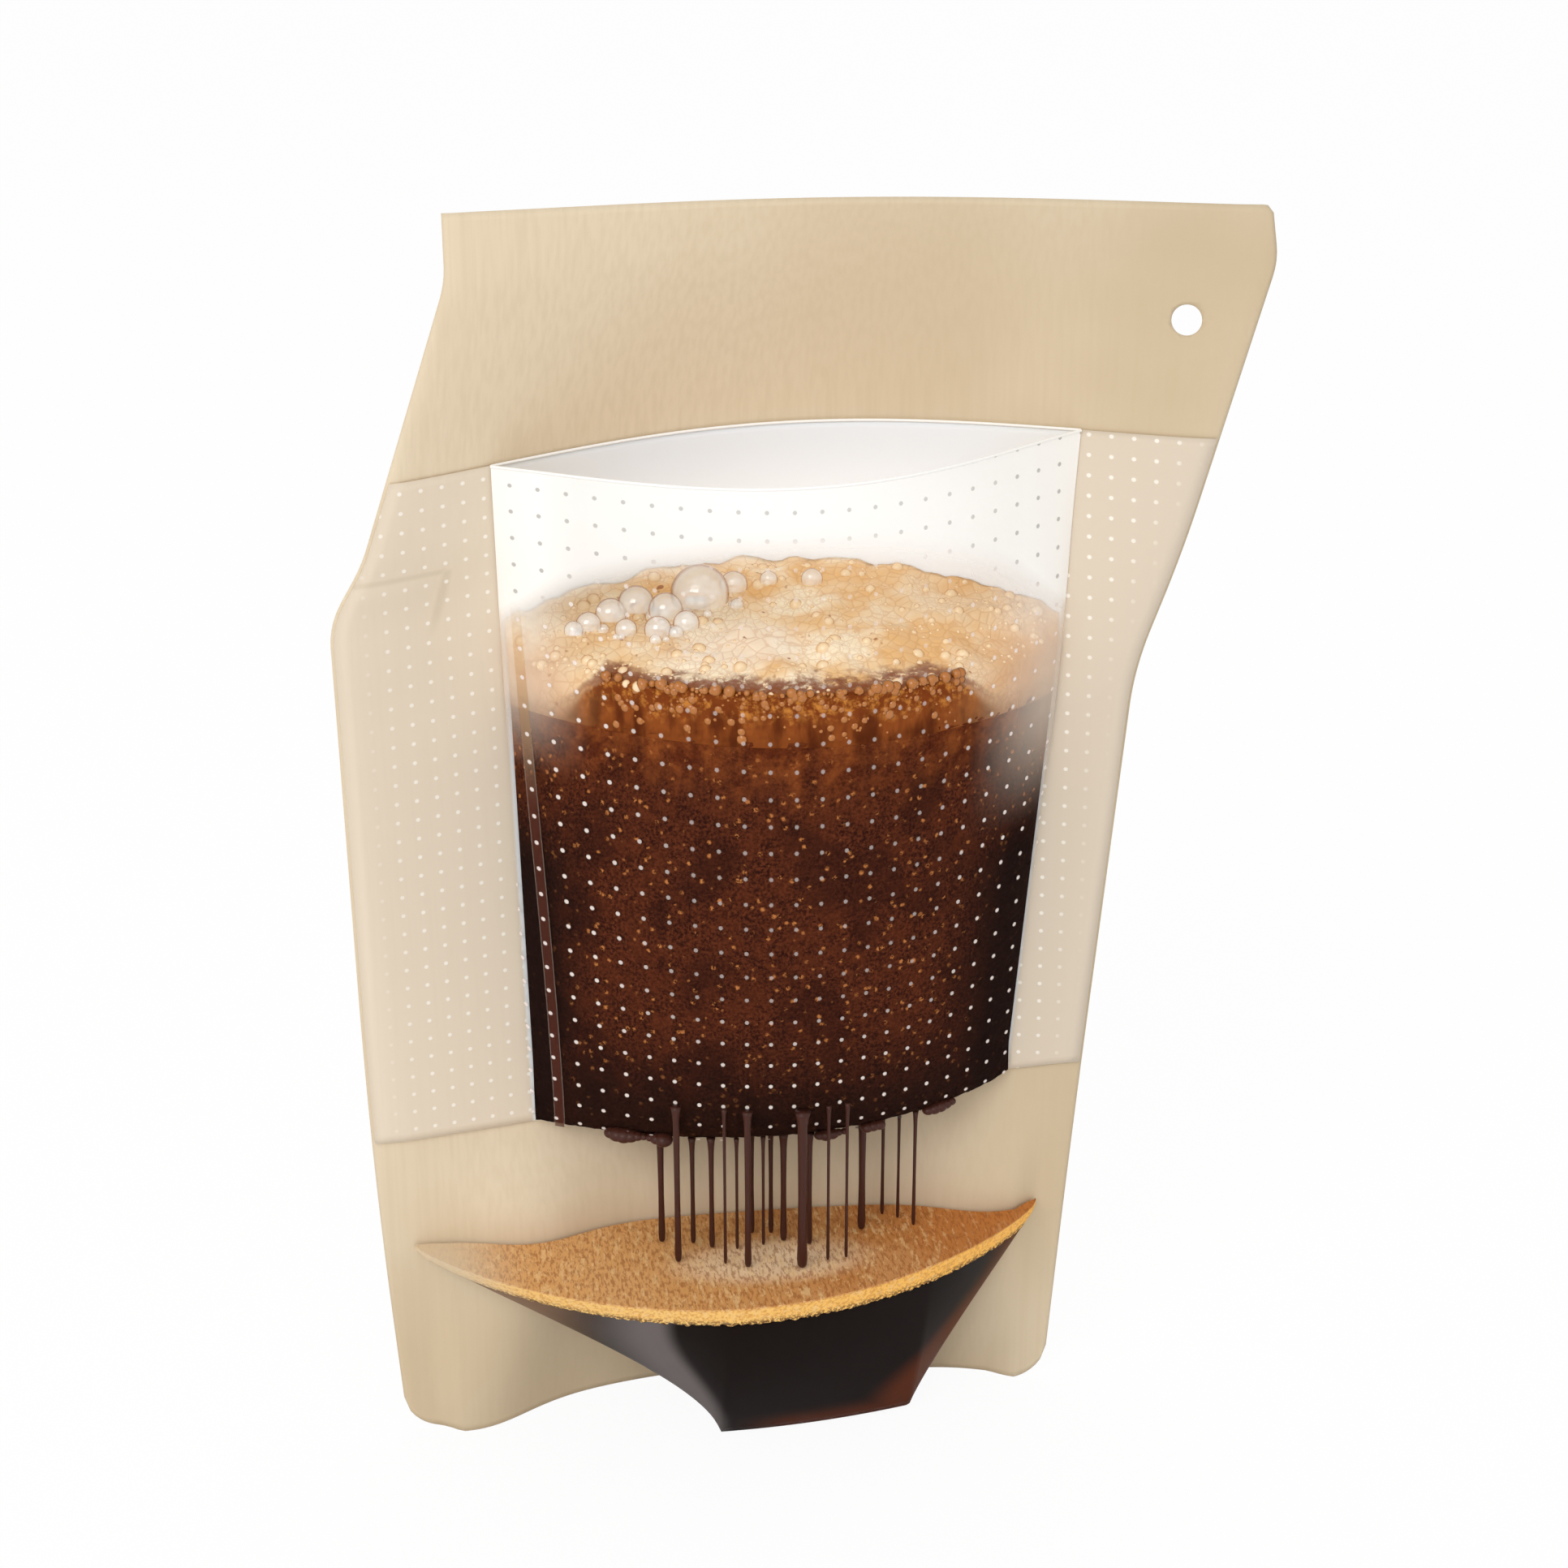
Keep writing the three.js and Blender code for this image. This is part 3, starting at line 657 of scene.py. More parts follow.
def right_line(z):
    """The right edge of the body and of the flare above it, as two straight lines."""
    return (73.6 + (z - 65.0) * 0.081).most(81.8 + (z - 166.0) * 0.354)


def pocket_share(s):
    """0 at the pocket's left seam and 1 at its right one, as two straight lines."""
    left = pocket_left(s.z)
    return (s.x - left) / (pocket_right(s.z) - left)


def kraft_material():
    s = Shade("kraft_laminate")
    fibres = s.noise(1.0, 3.0, s.stretched(0.9, 0.9, 0.012))
    mottle = s.noise(0.02, 2.0)
    grain = s.noise(1.6, 2.0)
    # Painted shade: the kraft is lighter at the left and darker towards the right.
    across = s.x.smooth(-20.0, 105.0)
    low = s.z.smooth(90.0, 20.0)
    base = s.mix(across, srgb(229, 210, 181), srgb(203, 183, 151))
    base = s.mix(low * 0.75, base, srgb(204, 182, 149))
    base = s.mix(mottle.smooth(0.35, 0.7) * 0.4, base, srgb(233, 217, 191))
    base = s.mix(fibres.smooth(0.3, 0.75) * 0.22, base, srgb(203, 181, 146))
    bumped = s.bump(grain, 0.06, 0.0002)
    return s.done(s.surface(base, 0.8, 0.25, bumped))


def web_material():
    s = Shade("web_film")
    # Painted shade: the band is lighter at the left and darker towards the right.
    across = s.x.smooth(-75.0, 95.0)
    fibres = s.noise(1.0, 3.0, s.stretched(0.9, 0.9, 0.012))
    band = s.mix(across, srgb(229, 213, 191), srgb(218, 203, 183))
    band = s.mix(fibres.smooth(0.35, 0.75) * 0.12, band, srgb(216, 199, 174))
    edges = s.x.smooth(-73.0, -62.0) * (right_line(s.z) - s.x).smooth(2.0, 12.0)
    dots = s.dots(s.x, s.z, WEB_DOT_PITCH, DOT_RADIUS, 0.12) * edges
    # Painted shade along the spout's pressed channel: a thin dark line at its top edge and a soft shadow
    # along its slanting fold.
    line = s.z.smooth(SPOUT_LINE - 1.0, SPOUT_LINE - 0.2) * s.z.smooth(SPOUT_LINE + 0.8, SPOUT_LINE)
    line = line * s.x.smooth(-52.0, -55.0)
    lean = s.x + 53.0 - (s.z - SPOUT_LINE) * 0.287
    crease = lean.smooth(-1.4, -0.2) * lean.smooth(1.6, 0.2)
    crease = crease * s.z.smooth(176.0, 182.0) * s.z.smooth(SPOUT_LINE + 0.5, SPOUT_LINE - 0.5)
    band = s.mix(line.most(crease) * 0.3, band, srgb(196, 178, 150))
    band = s.mix(dots * 0.8, band, srgb(252, 246, 235))
    inside = (s.x - pocket_left(s.z)).smooth(0.0, 0.8) * (pocket_right(s.z) - s.x).smooth(0.0, 0.8)
    share = pocket_share(s)
    # Painted shade: the white film is greyed in the mouth's corners near the top. Above that it is also
    # greyer along its top edge and whiter lower down.
    corners = (share.smooth(0.0, 0.3) * share.smooth(1.0, 0.78)).most(s.z.smooth(206.0, 198.0))
    deep = s.z.smooth(208.0, 192.0)
    whole = s.mix(deep, srgb(238, 240, 243), srgb(253, 254, 255))
    inner = s.mix(corners, srgb(238, 238, 236), whole)
    colour = s.mix(inside, band, inner)
    return s.done(s.surface(colour, 0.6, 0.2))


def pocket_material():
    s = Shade("pocket_film")
    share = pocket_share(s)
    arch = share * (1.0 - share) * 4.0
    above = (s.z - arch * VEIL_ARCH).smooth(VEIL_FOOT, VEIL_HEAD)
    left_haze = share.smooth(0.15, 0.0) * s.z.smooth(148.0, 168.0) * 0.5
    right_haze = share.smooth(0.8, 1.0) * s.z.smooth(134.0, 163.0) * 0.56
    veil = above * 0.74 + left_haze + right_haze
    pitch = lerp(POCKET_DOT_PITCH_LOW, POCKET_DOT_PITCH_HIGH, s.z.smooth(70.0, 212.0))
    dots = s.dots(s.x - 13.0, s.z, pitch, DOT_RADIUS, 0.1)
    over_coffee = 1.0 - above
    strong = share.smooth(0.32, 0.12).most(share.smooth(0.72, 0.9)).most(s.z.smooth(110.0, 84.0))
    dot_share = dots * lerp(0.75, strong * 0.5 + 0.35, over_coffee)
    dot_colour = s.mix(over_coffee, srgb(196, 194, 190), srgb(240, 228, 222))
    seam = s.x - lerp(-35.6, -41.0, s.z.smooth(60.0, 215.0))
    strip = seam.smooth(-1.1, -0.8) * seam.smooth(1.1, 0.8)
    strip_colour = s.mix(s.z.smooth(140.0, 172.0), srgb(92, 44, 31), srgb(228, 196, 158))
    hazy = s.mix(s.z.smooth(182.0, 172.0), WHITE, srgb(246, 230, 212))
    colour = s.mix(strip * s.z.smooth(183.0, 173.0), hazy, strip_colour)
    colour = s.mix(dots, colour, dot_colour)
    alpha = veil.most(strip * s.z.smooth(186.0, 160.0) * 0.55).most(dot_share)
    return s.done(s.surface(colour, 0.5, 0.15, alpha=alpha.least(1.0)))


def rim_material():
    s = Shade("pocket_rim")
    return s.done(s.surface(srgb(254, 253, 250), 0.4, 0.3))


def clear_material():
    s = Shade("clear_film")
    node = s.new("ShaderNodeMixShader")
    clear = s.new("ShaderNodeBsdfTransparent")
    gloss = s.new("ShaderNodeBsdfGlossy")
    gloss.inputs["Color"].default_value = srgb(252, 252, 252)
    gloss.inputs["Roughness"].default_value = 0.12
    sheen = s.facing(0.5).smooth(0.86, 1.0) * 0.08
    plug(s.tree, node.inputs[0], sheen)
    s.tree.links.new(clear.outputs[0], node.inputs[1])
    s.tree.links.new(gloss.outputs[0], node.inputs[2])
    return s.done(node.outputs[0])


def grounds_material():
    s = Shade("ground_coffee")
    share = pocket_share(s)
    coarse = s.noise(0.22, 4.0, roughness=0.65)
    grains = s.cells(0.75)
    fine = s.noise(1.6, 3.0, roughness=0.7)
    specks = s.cells(0.42)
    mottle = s.noise(0.075, 3.0)
    runs = s.noise(1.0, 3.0, s.stretched(0.3, 0.3, 0.09))
    top = (s.z + (runs - 0.5) * 26.0).smooth(146.0, 166.0)
    base = s.mix(fine.smooth(0.35, 0.7), srgb(42, 18, 11), srgb(102, 51, 30))
    base = s.mix(coarse.smooth(0.4, 0.7) * 0.6, base, srgb(92, 44, 24))
    base = s.mix(mottle.smooth(0.52, 0.36) * 0.55, base, srgb(44, 20, 14))
    base = s.mix(specks.smooth(0.27, 0.1) * fine.smooth(0.42, 0.56) * 0.8, base, srgb(206, 132, 72))
    amber = s.mix(coarse.smooth(0.35, 0.65), srgb(94, 40, 17), srgb(150, 80, 36))
    base = s.mix(top * (fine * 0.6 + 0.4), base, amber)
    # Painted shade: the grounds are made near-black at the pocket's left and right sides and towards its
    # bottom, where the pocket curves away and under.
    lower = s.z.smooth(152.0, 126.0)
    dark_left = share.smooth(0.17, 0.03)
    dark_right = share.smooth(0.74, 0.95)
    dark_low = s.z.smooth(104.0, 78.0) * 0.85
    dark = (dark_left.most(dark_right) * lower).most(dark_low).least(0.96)
    colour = s.mix(dark, base, srgb(28, 16, 13))
    bumped = s.bump(fine + grains * 0.8, 0.4, 0.0006)
    return s.done(s.surface(colour, 0.8, 0.03, bumped))


def foam_material():
    s = Shade("coffee_foam")
    cells = s.cells(0.42, "DISTANCE_TO_EDGE")
    blotch = s.noise(0.09, 3.0)
    runs = s.noise(1.0, 3.0, s.stretched(0.3, 0.3, 0.09))
    specks = s.noise(0.5, 4.0, roughness=0.7)
    share = pocket_share(s)
    sides = share.smooth(0.18, 0.07).most(share.smooth(0.74, 0.9))
    line = 172.0 - sides * 8.5 + (runs - 0.5) * 2.5
    under = line - s.z
    front = under.smooth(-0.5 - sides * 2.5, 0.9 + sides * 4.5)
    meniscus = under.op("ABSOLUTE").smooth(1.2, 0.2) * (1.0 - sides) * specks.smooth(0.34, 0.48)
    ring = (s.y + 34.5).smooth(13.0, 2.0) * specks.smooth(0.5, 0.6) * (1.0 - sides)
    flecks = s.noise(0.32, 2.0).smooth(0.7, 0.75)
    # Painted highlight: a pale spot of light on the front middle of the foam's top.
    highlight_x = (s.x - 2.0) / 15.0
    highlight_y = (s.y + 16.0) / 8.0
    painted_highlight = (highlight_x * highlight_x + highlight_y * highlight_y).smooth(1.4, 0.1)
    top = s.mix(blotch.smooth(0.35, 0.65), srgb(236, 190, 130), srgb(254, 238, 208))
    top = s.mix(share.smooth(0.3, 0.1) * 0.5, top, srgb(250, 228, 190))
    top = s.mix(share.smooth(0.55, 0.9) * 0.5, top, srgb(226, 182, 130))
    top = s.mix(painted_highlight * 0.6, top, srgb(255, 246, 232))
    top = s.mix(ring * 0.75, top, srgb(140, 70, 32))
    top = s.mix(flecks * 0.8, top, srgb(150, 80, 38))
    small_cells = s.cells(0.85, "DISTANCE_TO_EDGE")
    fine_web = small_cells.smooth(0.08, 0.02) * blotch.smooth(0.5, 0.6) * 0.3
    webbing = (cells.smooth(0.09, 0.02) * 0.3).most(fine_web)
    top = s.mix(webbing, top, srgb(196, 134, 72))
    low = s.mix(specks.smooth(0.46, 0.66), srgb(124, 60, 24), srgb(196, 126, 56))
    deep = s.mix(runs.smooth(0.35, 0.65), srgb(96, 44, 18), srgb(148, 78, 34))
    low = s.mix((s.z + (runs - 0.5) * 10.0).smooth(169.5, 164.5), low, deep)
    colour = s.mix(front, top, low)
    shoulder = sides * s.z.smooth(177.0, 168.0)
    colour = s.mix(shoulder * 0.55, colour, srgb(204, 146, 92))
    colour = s.mix(meniscus * 0.85, colour, srgb(122, 56, 22))
    bumped = s.bump(cells.smooth(0.0, 0.4), 0.18, 0.0008)
    shine = 0.4 - front * 0.37
    return s.done(s.surface(colour, 0.35 + front * 0.4, shine, bumped))


def bubble_material(name, rim, middle):
    s = Shade(name)
    colour = s.mix(s.facing(0.45).smooth(0.15, 0.9), middle, rim)
    return s.done(s.surface(colour, 0.12, 0.6))


def clear_bubble_material():
    """A bubble skin: clear in the middle, amber where it is seen edge on."""
    s = Shade("clear_bubble")
    facing = s.facing(0.5)
    colour = s.mix(facing.smooth(0.4, 0.78), srgb(255, 255, 252), srgb(176, 112, 50))
    alpha = facing.smooth(0.36, 0.8) * 0.45 + 0.36
    skin_shader = s.surface(colour, 0.05, 0.6, alpha=alpha)
    gloss = s.new("ShaderNodeBsdfGlossy")
    gloss.inputs["Color"].default_value = srgb(255, 252, 246)
    gloss.inputs["Roughness"].default_value = 0.06
    both = s.new("ShaderNodeMixShader")
    plug(s.tree, both.inputs[0], 0.1)
    s.tree.links.new(skin_shader, both.inputs[1])
    s.tree.links.new(gloss.outputs[0], both.inputs[2])
    return s.done(both.outputs[0])


def crema_material():
    s = Shade("crema")
    grain = s.noise(1.0, 3.0, s.stretched(1.5, 0.4, 1.5), 0.7)
    patch = s.noise(0.05, 2.0)
    top = s.mix(s.x.smooth(-40.0, 60.0), srgb(226, 168, 104), srgb(194, 120, 56))
    # Painted highlight: a pale spot of light on the front middle of the crema's top.
    highlight_x = (s.x - 6.0) / 22.0
    highlight_y = (s.y + 30.0) / 9.0
    pale = (highlight_x * highlight_x + highlight_y * highlight_y).smooth(1.3, 0.0)
    top = s.mix(pale * 0.85, top, srgb(255, 224, 184))
    top = s.mix(patch.smooth(0.4, 0.7) * 0.3, top, srgb(230, 178, 122))
    side = s.mix(s.x.smooth(-30.0, 60.0), srgb(250, 202, 120), srgb(255, 192, 88))
    colour = s.mix(s.z.smooth(CREMA_EDGE, CREMA_SIDE), top, side)
    coarse = s.noise(1.0, 3.0, s.stretched(0.8, 0.22, 0.8), 0.75)
    dark_grain = s.mix(s.z.smooth(CREMA_EDGE, CREMA_SIDE), srgb(156, 86, 38), srgb(206, 134, 58))
    colour = s.mix(grain.smooth(0.46, 0.6) * 0.6, colour, dark_grain)
    pale_grain = coarse.smooth(0.52, 0.64) * s.x.smooth(75.0, 20.0) * 0.6
    colour = s.mix(pale_grain, colour, srgb(246, 206, 146))
    burnt = s.z.smooth(43.2, 41.2) * grain.smooth(0.42, 0.55) * 0.9
    colour = s.mix(burnt, colour, srgb(52, 26, 14))
    colour = s.mix(s.x.smooth(-42.0, -62.0) * 0.88, colour, srgb(220, 200, 170))
    bumped = s.bump(grain, 0.25, 0.0004)
    return s.done(s.surface(colour, 0.6, 0.2, bumped))


def coffee_material():
    s = Shade("brewed_coffee")
    # Painted highlight: a soft light band on the pool's left facet, next to its ridge.
    facet = s.x - lerp(RIDGE_LOW, RIDGE_HIGH, s.z.smooth(2.0, 41.0))
    facet_highlight = facet.smooth(-20.0, -5.0) * facet.smooth(1.5, -3.0)
    colour = s.mix(facet_highlight * 0.75, srgb(20, 10, 7), srgb(124, 115, 114))
    # Painted light: a reddish glow along the pool's right and lower edges, where light shines through the
    # thinner coffee.
    right = (s.x - lerp(34.0, 62.0, s.z.smooth(4.0, 41.0))).smooth(-10.0, 0.0)
    low = s.z.smooth(9.0, 2.0) * s.x.smooth(-4.0, 12.0)
    colour = s.mix(right.most(low) * 0.8, colour, srgb(98, 46, 20))
    tip = s.x.smooth(-26.0, -46.0)
    colour = s.mix(tip * 0.8, colour, srgb(140, 108, 86))
    return s.done(s.surface(colour, 0.35, 0.04))


def stream_material():
    s = Shade("coffee_stream")
    return s.done(s.surface(srgb(68, 36, 27), 0.3, 0.2))


# Pieces


def wall_columns(seal_steps):
    """Columns of a wall: its left seal, the wall between the seals, and its right seal."""
    seal = np.linspace(-1, 0, seal_steps, endpoint=False)
    return [*seal, *np.linspace(0, 1, 91), *(1 - seal)[::-1]]


def spout_bulge(x, z):
    """A soft pouring channel pressed out at the left edge, under the neck."""
    across = 1 - smooth(x, -66.0, -52.0)
    up = smooth(z, 160.0, 180.0) * (1 - smooth(z, 187.0, 190.5))
    return 0.7 * across * up


def kraft_panel():
    levels = np.linspace(0, HEIGHT, 161)

    def wall(column, level):
        z = header_z(column, hem_z(column, level))
        x = column_x(column, z)
        return (x, back_y(x, z) - spout_bulge(x, z), z)

    points = grid(wall, wall_columns(7), levels)
    kraft = kraft_material()
    panel = sheet_body("kraft_panel", points, PANEL, kraft, ["back_panel"], True)
    punch_hole(panel)


def punch_hole(piece):
    """Cuts the hang hole, which narrows where the wall now turns."""
    sides = 48
    slope = back_y(HOLE_X + 0.5, HOLE_Z) - back_y(HOLE_X - 0.5, HOLE_Z)
    narrow = HOLE_RADIUS * math.cos(math.atan(slope))
    turns = np.linspace(0, 2 * np.pi, sides, endpoint=False)
    ring = [(HOLE_X + narrow * math.cos(t), HOLE_Z + HOLE_RADIUS * math.sin(t)) for t in turns]
    points = [(x * MM, y * MM, z * MM) for y in (-80.0, 60.0) for x, z in ring]
    faces = [[i, sides + i, sides + (i + 1) % sides, (i + 1) % sides] for i in range(sides)]
    faces += [list(range(sides)), list(range(2 * sides - 1, sides - 1, -1))]
    mesh = bpy.data.meshes.new("punch")
    mesh.from_pydata(points, [], faces)
    punch = bpy.data.objects.new("punch", mesh)
    bpy.context.scene.collection.objects.link(punch)
    cut = piece.modifiers.new("hang_hole", "BOOLEAN")
    cut.operation = "DIFFERENCE"
    cut.object = punch
    bpy.context.view_layer.update()
    shaped = piece.evaluated_get(bpy.context.evaluated_depsgraph_get())
    cut_mesh = bpy.data.meshes.new_from_object(shaped)
    piece.modifiers.clear()
    piece.data = cut_mesh
    bpy.data.objects.remove(punch)


def front_sheet():
    """The clear front wall: only its outer skin is kept, as the film is thinner than it shows."""

    def wall(column, row):
        if row <= 2:
            line = gusset_line(clamp(column))
            level = line * row if row <= 1 else lerp(line, POOL, row - 1)
        else:
            level = lerp(POOL, HEIGHT, row - 2)
        z = header_z(column, hem_z(column, level))
        x = column_x(column, z)
        return (x, front_y(x, z), z)

    rows = [*np.linspace(0, 1, 9), *np.linspace(1, 2, 21)[1:], *np.linspace(2, 3, 101)[1:]]
    points = grid(wall, wall_columns(7), rows)
    clear = clear_material()
    film = sheet_body("front_sheet", points, FILM, clear, ["front_film"], True)
    punch_hole(film)
    work = bmesh.new()
    work.from_mesh(film.data)
    inner = [face for face in work.faces if face.normal.y > -0.02]
    bmesh.ops.delete(work, geom=inner, context="FACES")
    work.to_mesh(film.data)
    work.free()


def base_fold():
    """The clear folded base: up inside the front wall, across, and down inside the back wall."""
    columns = wall_columns(3)[1:-1]

    def arch(column, v):
        line = gusset_line(clamp(column))
        foot = hem_z(column, SHEET_GAP)

        def at(z, on_back):
            x = column_x(column, z)
            slack = 0.8 * clamp(min(column, 1 - column) / 0.06)
            y = back_y(x, z) - LAYER_PITCH - slack if on_back else front_y(x, z) + LAYER_PITCH
            return np.array([x, y, z])

        if v <= 1:
            return at(lerp(foot, line, v), False)
        if v >= 2:
            return at(lerp(line, foot, v - 2), True)
        return lerp(at(line, False), at(line, True), v - 1)

    points = grid(arch, columns, np.linspace(0, 3, 31))
    skin("base_fold", points, clear_material(), ["base_gusset"])


def filter_sheet():
    def web(column, v):
        guess = column_x(column, lerp(WEB_BOTTOM, WEB_TOP_LEFT, v))
        z = lerp(web_bottom(guess), web_top(guess), v)
        x = column_x(column, z)
        return (x, web_y(x, z) - spout_bulge(x, z), z)

    columns = [-0.9, -0.45, *np.linspace(0, 1, 91), 1.45, 1.9]
    points = grid(web, columns, np.linspace(0, 1, 81))
    sheet_body("filter_sheet", points, FILM, web_material(), ["filter_web"])


def pocket_sheet():
    rows = [*np.linspace(2, 1, 24, endpoint=False), *np.linspace(1, 0, 61)]
    points = grid(pocket_point, crowded(90), rows)
    skin("pocket_sheet", points, pocket_material(), ["filter_pocket"])
    rim = rim_material()
    front = [pocket_point(share, 0) for share in crowded(70)]
    tube("front_rim", front, RIM_RADIUS, 8, rim)

    def back(share):
        x = lerp(POCKET_TOP_LEFT, POCKET_TOP_RIGHT, share)
        z = web_top(x)
        return (x, web_y(x, z) - 0.3, z)

    tube("back_rim", [back(share) for share in crowded(70)], RIM_RADIUS, 8, rim)


def grain_at(point):
    """Height of the ground coffee's grains at a point, about -1 to 1."""
    place = Vector(point)
    return noise.noise(place * 0.9) + 0.6 * noise.noise(place * 2.1)


def wet_grounds():
    inset = GROUNDS_INSET

    def face(share, v):
        if v >= 1:
            return pocket_front(share, lerp(HIP, BED + 0.6, v - 1), inset)
        return pocket_point(share, 2 - v, inset)

    def rear(share, v):
        x, _, z = face(share, v)
        if v < 1:
            z = lerp(web_bottom(x) + POCKET_PITCH + inset, HIP, v)
        return (x, web_y(x, z) - REAR_INSET, z)

    shares = 0.004 + 0.992 * crowded(120)
    vs = [*np.linspace(0.1, 1, 30, endpoint=False), *np.linspace(1, 2, 110)]
    front = grid(face, shares, vs)
    normal = normals_of(front)
    grain = np.array([[grain_at(point) for point in row] for row in front])
    fade = np.minimum(1, np.minimum(shares, 1 - shares) / 0.06)[None, :, None]
    front = front + normal * (0.28 * grain[:, :, None]) * fade
    back = grid(rear, shares, vs)
    body("wet_grounds", front, back, grounds_material(), ["coffee_bed"])


def foam_layer(share, depth, z):
    x, y, _ = pocket_front(share, z, FOAM_INSET)
    return (x, lerp(y, web_y(x, z) - FOAM_INSET, depth), z)


def foam_height(share, depth):
    dome = depth * (FOAM_SIDE_RISE + FOAM_DOME * arch_of(share, 0.6))
    return FOAM_FRONT + dome


def foam_top(share, depth):
    z = foam_height(share, depth)
    x, y, _ = foam_layer(share, depth, z)
    lump = noise.noise(Vector((x, y, 0)) * 0.12) * 1.6 + noise.noise(Vector((x, y, 5)) * 0.33) * 0.9
    return (x, y, z + lump * min(1.0, depth * 6))


def foam():
    shares = 0.004 + 0.992 * crowded(110)
    depths = np.linspace(0, 1, 46)
    top = grid(foam_top, shares, depths)
    bottom = grid(lambda share, depth: foam_layer(share, depth, BED - 0.4), shares, depths)
    body("foam_body", top, bottom, foam_material(), ["coffee_foam"])
    pick = random.Random(7)
    foam_bubbles(pick)
    film_bubbles(pick)
    clear_bubbles(pick)


def foam_bubbles(pick):
    """Small bubbles, half sunk in the top of the foam."""
    spots = []
    for _ in range(380):
        share = pick.uniform(0.03, 0.97)
        depth = pick.uniform(0.02, 0.98)
        x, y, z = foam_top(share, depth)
        radius = 0.35 + 1.3 * pick.random() ** 4
        spots.append((x, y, z - radius * 0.45, radius))
    pale = bubble_material("foam_bubble", srgb(206, 146, 84), srgb(248, 220, 178))
    balls("foam_bubbles", spots, 2, pale)


def film_bubbles(pick):
    """Amber bubbles against the front of the pocket, most of them at the foam's edge."""
    spots = []
    for _ in range(260):
        share = pick.uniform(0.16, 0.8)
        z = FOAM_FRONT + 0.8 - 9.5 * pick.random() ** 2.8
        radius = 0.3 + 1.1 * pick.random() ** 2.5
        x, y, _ = pocket_front(share, z, 0.5 + radius * 0.8)
        spots.append((x, y, z, radius))
    amber = bubble_material("amber_bubble", srgb(72, 34, 12), srgb(178, 108, 40))
    balls("film_bubbles", spots, 2, amber)


def clear_bubbles(pick):
    """The large clear bubbles, with small ones that cluster round the first of them."""
    spots = list(LARGE_BUBBLES)
    for _ in range(26):
        x, y, z, radius = spots[pick.randrange(CLUSTERED)]
        turn = pick.uniform(0, 2 * math.pi)
        near = radius * pick.uniform(0.9, 1.3)
        small = pick.uniform(0.7, 1.6)
        beside = (near * math.cos(turn), near * math.sin(turn) * 0.7)
        spots.append((x + beside[0], y + beside[1], z - 0.5 * radius, small))
    clear = balls("clear_bubbles", spots, 3, clear_bubble_material(), foot=-0.35)
    clear.visible_shadow = False


def pool(name, node, top, floor_at, clear, columns, material):
    """A bowl of liquid between the walls and the folded base, closed by a level top."""

    def point(column, side, z):
        x = column_x(column, z)
        front = front_y(x, z) + clear
        back = max(back_y(x, z) - clear, front + SHEET_GAP)
        return (x, lerp(front, back, side), z)

    def bowl(column, v):
        floor = min(floor_at(column), top - 0.05)
        if v < 1:
            return point(column, 0, lerp(top, floor, v))
        return point(column, 1, lerp(floor, top, v - 2)) if v > 2 else point(column, v - 1, floor)

    vs = [*np.linspace(0, 1, 24), *np.linspace(1, 2, 8)[1:], *np.linspace(2, 3, 20)[1:]]
    shell = grid(bowl, columns, vs)
    level = grid(lambda column, v: point(column, v / 3, top), columns, vs)
    body(name, level, shell, material, [node])


def liquid_floor(column):
    return gusset_line(column) + FILM / 2 + LIQUID_GAP


def wet_columns(top, count):
    wet = [c for c in np.linspace(0, 1, 801) if liquid_floor(c) < top - SHEET_GAP]
    return np.linspace(wet[0], wet[-1], count)


def pools():
    crema_floor = POOL - CREMA_DEPTH
    clear = (PANEL + FILM) / 2 + LIQUID_GAP + LAYER_PITCH / 2

    def crema_bottom(column):
        ragged = 0.7 * noise.noise(Vector((column * 90, 0, 0)))
        ragged += 0.5 * noise.noise(Vector((column * 320, 3, 0)))
        return max(liquid_floor(column), crema_floor) + ragged

    dark_top = crema_floor + 1.0
    columns = wet_columns(dark_top, 160)
    dark = coffee_material()
    pool("dark_coffee", "brewed_coffee", dark_top, liquid_floor, clear + 0.25, columns, dark)
    columns = wet_columns(POOL, 300)
    golden = crema_material()
    pool("crema_layer", "crema", POOL, crema_bottom, clear - 0.1, columns, golden)


def under_pocket(x, y):
    """Height of the pocket's underside over a place."""
    share = clamp((x - POCKET_BOTTOM_LEFT) / (POCKET_BOTTOM_RIGHT - POCKET_BOTTOM_LEFT))
    for row in np.linspace(2, 1, 41):
        _, depth, z = pocket_point(share, row)
        if depth <= y:
            return z
    return 0.0


def thread_profile(bottom, top):
    """Radius shares and heights of a stream: a round tip, a slim neck and a bell at the top."""
    return [
        (0.15, bottom),
        (0.75, bottom + 0.12),
        (1.0, bottom + 0.6),
        (1.12, bottom + 2.0),
        (1.0, bottom + 5.0),
        (0.88, lerp(bottom, top, 0.45)),
        (0.95, lerp(bottom, top, 0.7)),
        (1.05, top - 3.5),
        (1.2, top - 2.0),
        (1.4, top - 1.0),
        (1.7, top),
    ]


